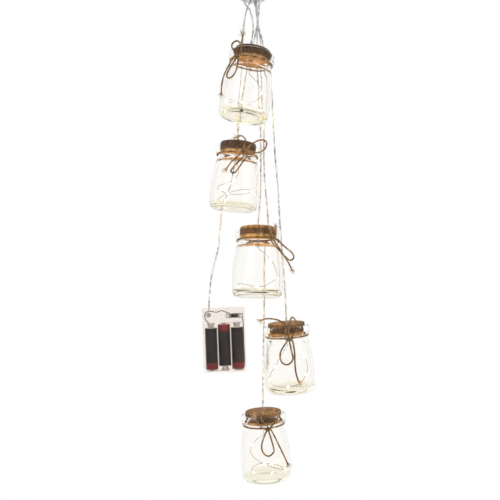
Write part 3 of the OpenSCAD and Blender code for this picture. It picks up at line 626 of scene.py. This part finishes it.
def glass_material():
    """Pale glass with a faint yellow glow of the lights painted on its foot, and a painted grey shade along
    its outline.

    It bends light less from the shoulder up to the rim.
    """
    material = clear(
        "jar_glass", colour=(0.97, 0.975, 0.96), roughness=0.0, ior=GLASS_IOR,
        shade=(0.96, 0.96, 0.94), edge=(0.77, 0.745, 0.66),
    )
    tree = material.node_tree
    surface = tree.nodes["Principled BSDF"]
    height = height_in(tree)
    # painted light: the foot's colour is tinted yellow as if lit by the beads, fading out up the jar
    colour = ramp(
        tree, mapped(tree, height, -JAR_H, PAINTED_FOOT_GLOW_H - JAR_H),
        (0.0, (0.93, 0.88, 0.68)), (0.5, (0.975, 0.945, 0.83)), (1.0, (0.99, 0.98, 0.955)),
    )
    # painted shade: grey is mixed into the colour where the glass is turned from the camera
    facing = add_node(tree, "ShaderNodeLayerWeight", {"Blend": 0.5}).outputs["Facing"]
    outline = mapped(
        tree, facing, PAINTED_SHADE_FROM, 1.0, to_high=PAINTED_SHADE_MOST, interpolation_type="SMOOTHSTEP"
    )
    shaded = mixed(tree, outline, colour, (*PAINTED_OUTLINE_SHADE, 1), data_type="RGBA")
    tree.links.new(shaded, surface.inputs["Base Color"])
    tree.links.new(mapped(tree, height, SHOULDER_Z, -LIP_H, GLASS_IOR, RIM_IOR), surface.inputs["IOR"])
    return material


def cork_material(name, end, grip, rim):
    """Cork, coloured by height with painted light and shade: painted light from the beads on its low end,
    painted shade where the glass grips it, and on its upper rim painted light where the factor is above 1
    and painted shade where it is below.

    The colours are factors of the grain's, so they may be above 1.
    """
    material, tree, surface = new_material(name, Roughness=0.88)
    where = own_place(tree)
    grains = add_node(
        tree, "ShaderNodeTexVoronoi", {"Vector": where, "Scale": 620.0, "Randomness": 1.0}
    ).outputs["Color"]
    tone = mixed(tree, 0.45, noise_in(tree, where, scale=260.0, detail=4.0), grains)
    grain = ramp(
        tree, tone,
        (0.3, (0.12, 0.065, 0.03)), (0.5, (0.26, 0.155, 0.075)), (0.72, (0.45, 0.3, 0.155)),
    )
    # painted light and shade by height: a factor above 1 paints light, one below 1 paints shade
    wear_and_painted_light = ramp(
        tree, mapped(tree, height_in(tree), CORK_LOW_Z, CORK_PROUD),
        (0.02, end), (0.16, end), (0.27, grip), (0.64, grip), (0.78, rim), (0.97, rim),
    )
    pores = ramp(
        tree, noise_in(tree, where, scale=900.0, detail=3.0), (0.36, BLACK), (0.47, WHITE)
    )
    colour = mixed(tree, 1.0, grain, wear_and_painted_light, data_type="RGBA", blend_type="MULTIPLY")
    pored = mixed(tree, 0.75, colour, pores, data_type="RGBA", blend_type="MULTIPLY")
    tree.links.new(pored, surface.inputs["Base Color"])
    bumped(tree, surface, pores, distance=0.0003, strength=0.7)
    return material


def twine_material(name, dark, middle, light):
    """Dull jute, with fine fibres and darker and lighter stretches."""
    material, tree, surface = new_material(
        name, Roughness=0.92, Specular_IOR_Level=0.2, Sheen_Weight=0.1
    )
    where = own_place(tree)
    fibres = noise_in(tree, where, scale=2600.0, detail=4.0)
    tone = mixed(tree, 0.55, fibres, noise_in(tree, where, scale=190.0, detail=2.0))
    colour = ramp(tree, tone, (0.37, dark), (0.5, middle), (0.63, light))
    tree.links.new(colour, surface.inputs["Base Color"])
    bumped(tree, surface, fibres, distance=0.0002, strength=0.8)
    return material


def cable_material():
    """Clear jackets, mottled pale and grey by noise: painted highlights and shade that stand in for the
    twist catching the light.
    """
    material = plain("clear_cable", (0.72, 0.72, 0.72), 0.35, Transmission_Weight=0.6, IOR=1.35)
    tree = material.node_tree
    # painted highlights and shade along the jacket
    colour = ramp(
        tree, noise_in(tree, own_place(tree), scale=230.0, detail=1.0),
        (0.36, (0.5, 0.495, 0.49)), (0.48, (0.74, 0.735, 0.72)), (0.6, (1.0, 0.99, 0.97)),
    )
    tree.links.new(colour, tree.nodes["Principled BSDF"].inputs["Base Color"])
    return material


def cell_material():
    """A plain sleeve: near black, with a dark red band at the cell's nub, and steel at both ends."""
    material, tree, surface = new_material("cell_jacket", Roughness=0.45, Specular_IOR_Level=0.25)
    steel = (0.5, 0.5, 0.5)
    colour = ramp(
        tree, mapped(tree, height_in(tree), 0.0, CELL_LEN),
        (0.0, steel), (0.008, (0.008, 0.006, 0.008)), (0.82, (0.12, 0.012, 0.014)), (0.968, steel),
        interpolation="CONSTANT",
    )
    tree.links.new(colour, surface.inputs["Base Color"])
    return material


def steel_material(name, colour, roughness):
    """Metal with faint marks that are drawn out along its height."""
    material, tree, surface = new_material(name, Base_Color=(*colour, 1), Metallic=1.0)
    drawn_out = add_node(tree, "ShaderNodeMapping", {"Vector": own_place(tree), "Scale": (1, 1, 0.1)})
    marks = noise_in(tree, drawn_out.outputs["Vector"], scale=900.0, detail=3.0)
    dull = mapped(tree, marks, 0.0, 1.0, roughness * 0.7, roughness * 1.3)
    tree.links.new(dull, surface.inputs["Roughness"])
    return material


MATERIALS = {
    "jar_glass": glass_material(),
    # The corks differ only in painted light and shade: end paints light from the beads, grip paints shade on
    # the side, and rim paints the top lit on the golden cork and shaded on the others.
    "cork": cork_material(
        "cork", end=(1.5, 1.35, 1.0), grip=(0.28, 0.2, 0.13), rim=(0.75, 0.68, 0.55)
    ),
    "cork_dark": cork_material(
        "cork_dark", end=(1.4, 1.3, 1.05), grip=(0.22, 0.16, 0.11), rim=(0.3, 0.25, 0.2)
    ),
    "cork_golden": cork_material(
        "cork_golden", end=(1.9, 1.75, 0.95), grip=(0.4, 0.27, 0.15), rim=(1.7, 1.5, 0.75)
    ),
    "jute_twine": twine_material(
        "jute_twine", dark=(0.06, 0.032, 0.013), middle=(0.205, 0.12, 0.05), light=(0.48, 0.315, 0.155)
    ),
    "jute_fibres": twine_material(
        "jute_fibres", dark=(0.3, 0.2, 0.12), middle=(0.5, 0.36, 0.23), light=(0.7, 0.56, 0.4)
    ),
    "copper_wire": plain("copper_wire", (0.2, 0.09, 0.045), 0.45, Metallic=0.5),
    "light_bead": plain(
        "light_bead", (1, 0.8, 0.5), 0.2, Emission_Color=(1, 0.66, 0.3, 1), Emission_Strength=400
    ),
    "clear_cable": cable_material(),
    "clear_sleeve": clear(
        "clear_sleeve", colour=(0.8, 0.8, 0.76), roughness=0.15, ior=1.4,
        shade=(0.8, 0.8, 0.78), edge=(0.5, 0.5, 0.48),
    ),
    "hanger_plastic": plain(
        "hanger_plastic", (0.8, 0.81, 0.8), 0.3,
        Subsurface_Weight=0.3, Subsurface_Radius=(0.002, 0.002, 0.002),
    ),
    "circuit_board": plain("circuit_board", (0.03, 0.14, 0.06), 0.5),
    "clear_case": clear(
        "clear_case", colour=(0.87, 0.79, 0.72), roughness=0.04, ior=1.32,
        shade=(0.9, 0.87, 0.84), edge=(0.6, 0.54, 0.48), alpha=0.5,
    ),
    "cell_jacket": cell_material(),
    "contact_metal": steel_material("contact_metal", (0.72, 0.71, 0.68), 0.25),
    "steel": steel_material("steel", (0.55, 0.55, 0.55), 0.35),
    "black_plastic": plain("black_plastic", (0.03, 0.02, 0.016), 0.45),
    "black_wire": plain("black_wire", (0.02, 0.02, 0.022), 0.4),
}


def paint_nodes():
    """Every CAD node takes its slot's material, whether or not a piece replaces it."""
    for part in frame["record"]["subparts"]:
        mesh = nodes[part["node"]].data
        mesh.materials.clear()
        mesh.materials.append(MATERIALS[part["material_slot"]])


# ---- cables ----

CORD_STEP = 0.0012
CABLE_PITCH = 0.013
CABLE_FAT = 1.35  # its two cores share a jacket


def clear_cord(name, route, node):
    """A clear two-core cable, twisted, from the hanger to the piece that it carries."""
    line = even(smooth(route, steps=6), CORD_STEP)
    shape = Shape()
    shape.rope(line, CABLE_D / 2, plies=2, pitch=CABLE_PITCH, sides=8, fat=CABLE_FAT)
    piece = shape.piece(name, "clear_cable", "hanger", "clear_cable", [node])


def start_of(k):
    """A cable's straight start, from the splice board through the plug."""
    x, y = CABLE_EXIT[k]
    return [(x, y, z) for z in (BOARD_LOW_Z, PLUG_TOP_Z, PLUG_LOW_Z - PLUG_TAIL)]


def end_of(place):
    """Its straight end above the piece that it carries."""
    x, y, z = place
    return [(x, y, z + SWING_GAP + STRAIGHT), (x, y, z + SWING_GAP)]


def cables():
    """One to each jar, and the battery box's lead, which has the last place in the plug."""
    for n in JARS:
        route = start_of(n) + CABLE_ROUTE[n] + end_of(JAR_AT[n])
        clear_cord(f"cable_{n + 1}", route, f"jar_{n + 1}_cable")
    clear_cord("lead", start_of(len(JARS)) + LEAD_ROUTE + end_of(BOX_PIVOT), "battery_lead")


# ---- glass ----

LATHE_SIDES = 96
BODY_STEPS = 22  # from the shoulder to the widest place, outside and inside
FOOT_STEPS = 8
FLOOR_STEPS = 6
BULGE = 0.8  # under 1, the body gets wide soon below the shoulder
GROOVE_BEVEL = 0.0004
THROAT_START = 0.001  # how far below the throat the inside of the body starts
SEAT_BEVEL = 0.001
PUSH_UP = 0.0016  # how far the foot is hollowed
CROWN = 0.0008  # how far the floor's middle stands up
MOUTH_ROUND = 0.001
SEAM_TURN = 0.6  # where the mould seams are, in radians round the jar
SEAM_H = 0.00014
SEAM_W = 0.018  # in radians too
UNEVEN = 0.00022
WAVES = 1.6  # how many waves the inside has in WAVE_H
WAVE_H = 0.016
WAVES_APART = 7  # from one jar's waves to the next jar's
AXIS_R = 0.002  # the inside is even this near the axis
EVEN_LOW_Z = CORK_LOW_Z - 2 * SEAT_GAP  # and even above this, round the cork


def shoulder_r(z):
    """The body's radius at a height between the shoulder and the widest place."""
    t = (SHOULDER_Z - z) / (SHOULDER_Z - WIDEST_Z)
    return NECK_R + (BODY_R - NECK_R) * math.sin(math.radians(90 * t**BULGE))


def jar_outline():
    """The glass from the rim down the outside, under the foot, and up the inside.

    With it comes the number of its points that are outside.
    """
    heights = [SHOULDER_Z + (WIDEST_Z - SHOULDER_Z) * k / BODY_STEPS for k in range(BODY_STEPS + 1)]
    inner = [
        THROAT_LOW_Z - THROAT_START + (WIDEST_Z - THROAT_LOW_Z) * k / BODY_STEPS
        for k in range(1, BODY_STEPS + 1)
    ]
    foot_r = BODY_R - FOOT_ROUND - FOOT_INSET
    floor_z = -(JAR_H - FLOOR_T)
    outside = (
        arc((LIP_R - LIP_ROUND, -LIP_ROUND), LIP_ROUND, 90, 0)
        + arc((LIP_R - LIP_ROUND, -LIP_H + LIP_ROUND), LIP_ROUND, 0, -90)
        + [(NECK_R + GROOVE_BEVEL, -LIP_H), (NECK_R, -LIP_H - GROOVE_BEVEL)]
        + [(shoulder_r(z), z) for z in heights]
        + arc((foot_r, -JAR_H + FOOT_ROUND), FOOT_ROUND, 0, -90, count=12)
    )
    under = [
        (
            foot_r * (1 - k / FOOT_STEPS),
            -JAR_H + PUSH_UP * math.sin(math.radians(90 * k / FOOT_STEPS)) ** 2,
        )
        for k in range(1, FOOT_STEPS + 1)
    ]
    floor_rs = [foot_r * k / FLOOR_STEPS for k in range(FLOOR_STEPS - 1)]
    inside = (
        [(r, floor_z + CROWN * (1 - (r / foot_r) ** 2)) for r in floor_rs]
        + arc((BODY_R - WALL - INNER_ROUND, floor_z + INNER_ROUND), INNER_ROUND, -90, 0, count=12)
        + [(max(shoulder_r(z) - WALL, THROAT_R), z) for z in reversed(inner)]
        + [(THROAT_R + THROAT_BEVEL, THROAT_LOW_Z - 2 * THROAT_BEVEL)]
        + [(THROAT_R, THROAT_LOW_Z), (THROAT_R, CORK_SEAT_Z)]
        + [(MOUTH_R, CORK_LOW_Z + SEAT_BEVEL), (MOUTH_R, -MOUTH_ROUND)]
        + arc((MOUTH_R + MOUTH_ROUND, -MOUTH_ROUND), MOUTH_ROUND, 180, 90, count=4)
    )
    return outside + under + inside, len(outside)


def jar_glass(n):
    """Pressed glass: two faint mould seams outside, and an inside that isn't quite even."""
    outline, outside = jar_outline()
    outline = outline + outline[:1]

    def bend(a, i, r, z):
        if i < outside or i == len(outline) - 1:
            off = abs((a - SEAM_TURN + math.pi / 2) % math.pi - math.pi / 2)
            if z < SHOULDER_Z:
                r += SEAM_H * math.exp(-((off / SEAM_W) ** 2))
        elif z < EVEN_LOW_Z and r > AXIS_R:
            at = Vector((math.cos(a), math.sin(a), z / WAVE_H)) * WAVES
            r += UNEVEN * noise.noise(at + Vector((WAVES_APART * n, 0, 0)))
        return r, z

    shape = Shape()
    shape.lathe(outline, LATHE_SIDES, bend)
    shape.piece(
        f"jar_glass_{n + 1}", "jar_glass", f"jar_{n + 1}", "jar_glass", [f"jar_{n + 1}_glass"], jar_place(n)
    )


# ---- corks ----

# Copies of one cork that differ in their painted light and shade
CORKS = ["cork_dark", "cork_dark", "cork_golden", "cork", "cork"]
CORK_EDGE = 0.0007  # the round of its worn edges
END_STEPS = 14
SIDE_STEPS = 10
SIDE_TOP_Z = -0.0002  # where its taper starts, just under the jar's rim
PIT = 0.00035
PITS = 420  # to a metre
PITS_APART = 31  # from one cork's pits to the next cork's
PITS_ASIDE = 5
PIT_FROM = 0.1  # how strong the noise is where a pit starts
HOLE_EDGE = 0.0005  # no pits this near the hole
FACE_T = 0.0001  # a point this near to an end's height is in the end's face


def jar_cork(n):
    """Natural cork with worn edges, pits and the cable's hole."""
    low_r = CORK_R - CORK_TAPER
    top_w = CORK_R - CORK_EDGE - HOLE_R
    low_w = low_r - CORK_EDGE - HOLE_R
    top = [(HOLE_R + top_w * k / END_STEPS, CORK_PROUD) for k in range(END_STEPS + 1)]
    side_top = arc((CORK_R - CORK_EDGE, CORK_PROUD - CORK_EDGE), CORK_EDGE, 90, 0, count=4)
    side = [
        (
            CORK_R - CORK_TAPER * k / SIDE_STEPS,
            SIDE_TOP_Z + (CORK_LOW_Z + CORK_EDGE) * k / SIDE_STEPS,
        )
        for k in range(SIDE_STEPS + 1)
    ]
    side_low = arc((low_r - CORK_EDGE, CORK_LOW_Z + CORK_EDGE), CORK_EDGE, 0, -90, count=4)
    bottom = [(HOLE_R + low_w * (1 - k / END_STEPS), CORK_LOW_Z) for k in range(1, END_STEPS + 1)]
    outline = top + side_top[1:] + side + side_low[1:] + bottom + top[:1]

    def bend(a, _, r, z):
        at = Vector((r * math.cos(a), r * math.sin(a), z)) * PITS
        at += Vector((PITS_APART * n, PITS_ASIDE, 0))
        wear_and_painted_light = PIT * max(0.0, noise.noise(at) - PIT_FROM)
        if r > HOLE_R + HOLE_EDGE:
            r -= wear_and_painted_light if abs(z - CORK_PROUD) > FACE_T and abs(z - CORK_LOW_Z) > FACE_T else 0
            z += wear_and_painted_light if z < CORK_LOW_Z + CORK_EDGE else -wear_and_painted_light if z > CORK_PROUD - CORK_EDGE else 0
        return r, z

    shape = Shape()
    shape.lathe(outline, LATHE_SIDES, bend)
    shape.piece(f"cork_{n + 1}", CORKS[n], f"stopper_{n + 1}", "cork", [f"jar_{n + 1}_cork"], jar_place(n))


# ---- strings of lights ----

WIRE_STEP = 0.0006
WIRE_PITCH = 0.006
WIRE_FAT = 1.05
BEAD_STEPS = 11
BEAD_SIDES = 14
BEAD_SHARE = 0.32  # its radius, as a share of its length
BEAD_END = 0.995  # where its rounding stops, so that no ring of points is a single point


def light_string(n):
    """Two fine copper wires laid together, with a glowing drop at each light."""
    place = jar_place(n)
    line = even(moved(smooth([(0, 0, SLEEVE_LOW_Z), *WIRE_ROUTE[n]]), place), WIRE_STEP)
    wires = Shape()
    wires.rope(line, WIRE_D / 2, plies=2, pitch=WIRE_PITCH, sides=6, fat=WIRE_FAT)
    wire = wires.piece(
        f"copper_wire_{n + 1}", "copper_wire", f"stopper_{n + 1}", "copper_wire", [f"jar_{n + 1}_wire"]
    )
    beads = Shape()
    for k in WIRE_BEADS[n]:
        centre = np.array(place @ Vector(WIRE_ROUTE[n][k]))
        near = int(np.argmin(np.linalg.norm(line - centre, axis=1)))
        way = line[min(near + 1, len(line) - 1)] - line[max(near - 1, 0)]
        way /= np.linalg.norm(way)
        s = np.linspace(-1, 1, BEAD_STEPS)
        axis = centre + way * (s * BEAD_D / 2)[:, None]
        rs = BEAD_SHARE * BEAD_D * np.sqrt(1 - np.clip(np.abs(s), 0, BEAD_END) ** 2)
        beads.tube(axis, rs, BEAD_SIDES)
    drops = beads.piece(
        f"light_beads_{n + 1}", "light_bead", f"stopper_{n + 1}", "light_bead", [f"jar_{n + 1}_beads"]
    )


# ---- twine ----

TWINE_STEP = 0.0005
TWINE_PITCH = 0.0062
TWINE_FAT = 1.1
KNOT_CORE = 0.0009  # how near a strand comes to the knot's middle
WRAP_STEPS = 46
WRAP_TURNS = (-0.2, 1.4)
WRAP_HALF = 0.0011  # half of the knot's width
WRAP_GAP = 0.0001
END_STEP = 6  # how many points back from a cut end the one is that gives its direction
PULL_GAP = 0.0009  # what loose fibres leave between them and the cork
LEAST_R = 0.001
FIRST_SEED = 11

# The loose fibres of a cut end
FRAYS = 40
FRAY_LEN = (0.003, 0.0075)
FRAY_SPREAD = (0.1, 0.42)
FRAY_CURL = 0.22  # a share of its length
FRAY_START = 0.22  # in the twine's diameters from its middle
FRAY_BITE = 0.001  # how far inside the twine it starts
FRAY_STEPS = 6
FRAY_R = (0.00026, 0.0001)

# The hairs along the twine
RING_HAIRS = 70
BOW_HAIRS = 150
HAIR_LEN = (0.0012, 0.0034)
HAIR_ALONG = (0.3, 1)
HAIR_OUT = (0.3, 0.9)
HAIR_START = 0.42  # in the twine's diameters from its middle
HAIR_CURL = 0.4  # a share of its length
HAIR_STEPS = 4
HAIR_R = 0.00004


def knot_at(n):
    """The middle of a jar's knot."""
    turn = math.radians(KNOT_TURN[n])
    return Vector((KNOT_RING_R * math.sin(turn), -KNOT_RING_R * math.cos(turn), KNOT_Z))


def off_knot(n, way, r):
    """The point at a distance r from the knot's middle, the way that a strand leaves it."""
    turn = math.radians(KNOT_TURN[n])
    across, out, up = way
    x = across * math.cos(turn) + out * math.sin(turn)
    y = across * math.sin(turn) - out * math.cos(turn)
    return knot_at(n) + r * Vector((x, y, up)).normalized()


def bow_line(n):
    """One length of twine: upper tail, upper loop, lower loop and lower tail, through the knot each time."""
    upper_tail, upper_loop, lower_loop, lower_tail = (list(map(Vector, r)) for r in BOW_ROUTE[n])
    leave = BOW_LEAVE[n]

    def inward(way):
        return [off_knot(n, way, r) for r in (KNOT_R + KNOT_CLEAR, KNOT_R - KNOT_BITE, KNOT_CORE)]

    def outward(way):
        return inward(way)[::-1]

    points = upper_tail[::-1] + inward(leave[0][0])
    for loop, ways in ((upper_loop, leave[1]), (lower_loop, leave[2])):
        points += outward(ways[0]) + loop + inward(ways[1])
    points += outward(leave[3][0]) + lower_tail
    return even(moved(smooth(points), jar_place(n)), TWINE_STEP)


def lay_twine(shape, line):
    """Jute twine of three plies along the line."""
    shape.rope(line, TWINE_D / 2, plies=3, pitch=TWINE_PITCH, sides=6, fat=TWINE_FAT)


def clear_of_cork(line, place):
    """The line, bent outwards where it would be in the cork's way as the jar is pulled off."""
    local = moved(line, place.inverted())
    r = np.hypot(local[:, 0], local[:, 1])
    local[:, :2] *= np.maximum(1, (CORK_R + PULL_GAP) / np.maximum(r, LEAST_R))[:, None]
    return moved(local, place)


def any_way(rng):
    """A random vector."""
    return Vector([rng.gauss(0, 1) for _ in range(3)])


def fray(shape, end, before, place, rng):
    """The loose fibres of a cut end. The second point is on the twine a little before it."""
    way = Vector(end - before).normalized()
    end = Vector(end)
    t = np.linspace(0, 1, FRAY_STEPS)[:, None]
    for _ in range(FRAYS):
        side = any_way(rng)
        spread = (way + side * rng.uniform(*FRAY_SPREAD)).normalized()
        size = rng.uniform(*FRAY_LEN)
        curl = any_way(rng) * size * FRAY_CURL
        start = end + side.normalized() * TWINE_D * FRAY_START * rng.random() - way * FRAY_BITE
        line = np.array(start) + np.array(spread) * size * t + np.array(curl) * t**2
        shape.tube(clear_of_cork(line, place), np.linspace(*FRAY_R, FRAY_STEPS), sides=4)


def fuzz(shape, line, place, rng, count):
    """Fine hairs that stand off the twine."""
    u, v = sides_of(line)
    t = np.linspace(0, 1, HAIR_STEPS)[:, None]
    for _ in range(count):
        i = rng.randrange(1, len(line) - 1)
        a = rng.uniform(0, 2 * math.pi)
        out = math.cos(a) * u[i] + math.sin(a) * v[i]
        onward = (line[i + 1] - line[i - 1]) * rng.choice((-1, 1))
        onward = onward / np.linalg.norm(onward)
        size = rng.uniform(*HAIR_LEN)
        way = onward * rng.uniform(*HAIR_ALONG) + out * rng.uniform(*HAIR_OUT)
        hair = line[i] + out * TWINE_D * HAIR_START + way * size * t + out * size * HAIR_CURL * t**2
        shape.tube(clear_of_cork(hair, place), HAIR_R, sides=3)


def ring_line(n):
    """Once round the groove, with the ends at the knot."""
    turns = np.linspace(0, 2 * math.pi, int(2 * math.pi * RING_R / TWINE_STEP))
    turns = turns + math.radians(KNOT_TURN[n])
    ring = [RING_R * np.sin(turns), -RING_R * np.cos(turns), np.full(len(turns), RING_Z)]
    return moved(np.stack(ring, 1), jar_place(n))


def wrap_line(n):
    """The knot: one and a half turns of twine round the strands that cross there."""
    wrap_r = KNOT_R - TWINE_D / 2 + WRAP_GAP
    turns = np.linspace(*WRAP_TURNS, WRAP_STEPS)
    across = np.linspace(-WRAP_HALF, WRAP_HALF, WRAP_STEPS)
    wrap = []
    for t, s in zip(turns, across):
        out = -math.cos(2 * math.pi * t) * wrap_r
        up = math.sin(2 * math.pi * t) * wrap_r
        wrap.append(off_knot(n, (s, out, up), math.hypot(s, wrap_r)))
    return moved(wrap, jar_place(n))


def twine(n):
    """The ring in the jar's groove with its knot, and the bow that is tied in it."""
    rng = random.Random(n + FIRST_SEED)
    place = jar_place(n)
    jar = f"jar_{n + 1}"
    ring = ring_line(n)
    tied = Shape()
    lay_twine(tied, ring)
    lay_twine(tied, wrap_line(n))
    fuzz(tied, ring, place, rng, RING_HAIRS)
    tied.piece(f"twine_ring_{n + 1}", "jute_twine", jar, "jute_twine", [f"{jar}_twine"])
    line = bow_line(n)
    strand = Shape()
    lay_twine(strand, line)
    bow = strand.piece(f"bow_{n + 1}", "jute_twine", jar, "jute_twine", [f"{jar}_bow"])
    loose = Shape()
    fray(loose, line[0], line[END_STEP], place, rng)
    fray(loose, line[-1], line[-1 - END_STEP], place, rng)
    fuzz(loose, line, place, rng, BOW_HAIRS)
    fibres = loose.piece(f"bow_fibres_{n + 1}", "jute_fibres", jar, "jute_twine")


# ---- cells of the battery box ----

CELL_SIDES = 64
RIM = 0.0006  # the round of the sleeve's rolled rims
RIM_W = 0.0012
DISC_R = 0.0044  # the contact at the flat end
BEVEL = 0.0002
DISC_DROP = 0.00025  # the depth of the groove round that contact
END_DROP = 0.0003  # how far the nub's end lies inside its rim
NUB_R = 0.0027
NUB_ROUND = 0.0004


def cell(k):
    """A bare AA cell with a rolled rim at each end of its sleeve. The middle one stands the other way up."""
    up = k == 1
    r = CELL_D / 2
    body = CELL_LEN - CELL_NUB
    outline = (
        [(0, 0.0), (DISC_R, 0.0), (DISC_R + BEVEL, DISC_DROP)]
        + [(r - RIM_W, DISC_DROP), (r - RIM_W + BEVEL, 0.0)]
        + arc((r - RIM, RIM), RIM, -90, 0, count=4)
        + arc((r - RIM, body - RIM), RIM, 0, 90, count=4)
        + [(r - RIM_W, body), (r - RIM_W - BEVEL, body - END_DROP)]
        + [(NUB_R + BEVEL, body - END_DROP), (NUB_R, body)]
        + arc((NUB_R - NUB_ROUND, CELL_LEN - NUB_ROUND), NUB_ROUND, 0, 90, count=4)
        + [(0, CELL_LEN)]
    )
    shape = Shape()
    shape.lathe(outline, CELL_SIDES)
    low_z = BAY_LOW_Z + PLATE_T + (SPRING_LEN if up else 0)
    place = box_place() @ Matrix.Translation(((k - 1) * CELL_PITCH, CELL_Y, low_z))
    if not up:
        place = place @ Matrix.Translation((0, 0, CELL_LEN)) @ Matrix.Rotation(math.pi, 4, "X")
    shape.piece(f"aa_cell_{k + 1}", "cell_jacket", "battery_box", "cell_jacket", [f"cell_{k + 1}"], place)


# ---- stage ----

MIDDLE = (0, 0, -0.3)
FLOOR_Z = -0.72
FLOOR_HALF = 3.0
FADE_R = (0.15, 0.45)  # where the floor fades, from its middle outwards
FADE_LEAST = 0.55  # the share of the backdrop's white in the middle


def camera():
    """Fitted to the photograph: in front of the cluster and tipped up a little.
    """
    data = bpy.data.cameras.new("camera")
    data.sensor_width = 36
    data.lens = 46.91
    data.shift_y = 0.045
    data.clip_end = 20
    eye = bpy.data.objects.new("camera", data)
    eye.location = (-0.00452, -0.748, -0.37)
    eye.rotation_euler = (math.radians(92.298), 0, math.radians(-0.088))
    bpy.context.scene.collection.objects.link(eye)
    bpy.context.scene.camera = eye


def lamp(name, place, size, power):
    """A square lamp that points at the middle of the cluster."""
    data = bpy.data.lights.new(name, "AREA")
    data.size = size
    data.energy = power
    obj = bpy.data.objects.new(name, data)
    obj.location = place
    obj.rotation_euler = (Vector(MIDDLE) - Vector(place)).to_track_quat("-Z", "Y").to_euler()
    bpy.context.scene.collection.objects.link(obj)


def world():
    """A soft light from all round, and a white backdrop for the rays that show it."""
    made = bpy.data.worlds.new("studio")
    bpy.context.scene.world = made
    made.use_nodes = True
    tree = made.node_tree
    light = tree.nodes["Background"]
    light.inputs["Color"].default_value = (0.95, 0.97, 1, 1)
    light.inputs["Strength"].default_value = 0.62
    white = add_node(tree, "ShaderNodeBackground", {"Color": (*WHITE, 1), "Strength": 1.0})
    show(tree, "World Output", seen_rays(tree), light, white)


def floor():
    """A pale floor below the lowest jar, which fades into the white backdrop."""
    mesh = bpy.data.meshes.new("floor")
    corners = [(-1, -1), (1, -1), (1, 1), (-1, 1)]
    mesh.from_pydata([(x * FLOOR_HALF, y * FLOOR_HALF, 0) for x, y in corners], [], [(0, 1, 2, 3)])
    obj = bpy.data.objects.new("floor", mesh)
    obj.location = (0, 0, FLOOR_Z)
    bpy.context.scene.collection.objects.link(obj)
    material, tree, surface = new_material("floor", Base_Color=(0.9, 0.9, 0.9, 1), Roughness=0.9)
    far = add_node(tree, "ShaderNodeVectorMath", {0: own_place(tree)}, operation="LENGTH").outputs["Value"]
    fade = mapped(tree, far, *FADE_R, to_low=FADE_LEAST, interpolation_type="SMOOTHSTEP")
    white = add_node(tree, "ShaderNodeEmission", {"Color": (*WHITE, 1), "Strength": 1.0})
    share = computed(tree, "MULTIPLY", fade, seen_rays(tree))
    show(tree, "Material Output", share, surface, white)
    mesh.materials.append(material)


# ---- the scene ----

camera()
paint_nodes()
cables()
for jar in JARS:
    jar_glass(jar)
    jar_cork(jar)
    light_string(jar)
    twine(jar)
for number in range(3):
    cell(number)
lamp("key", (-0.8, -1.1, 0.5), size=0.9, power=9)
lamp("fill", (1.0, -0.6, 0.1), size=0.8, power=4)
world()
floor()
bpy.context.scene.view_settings.view_transform = "Standard"
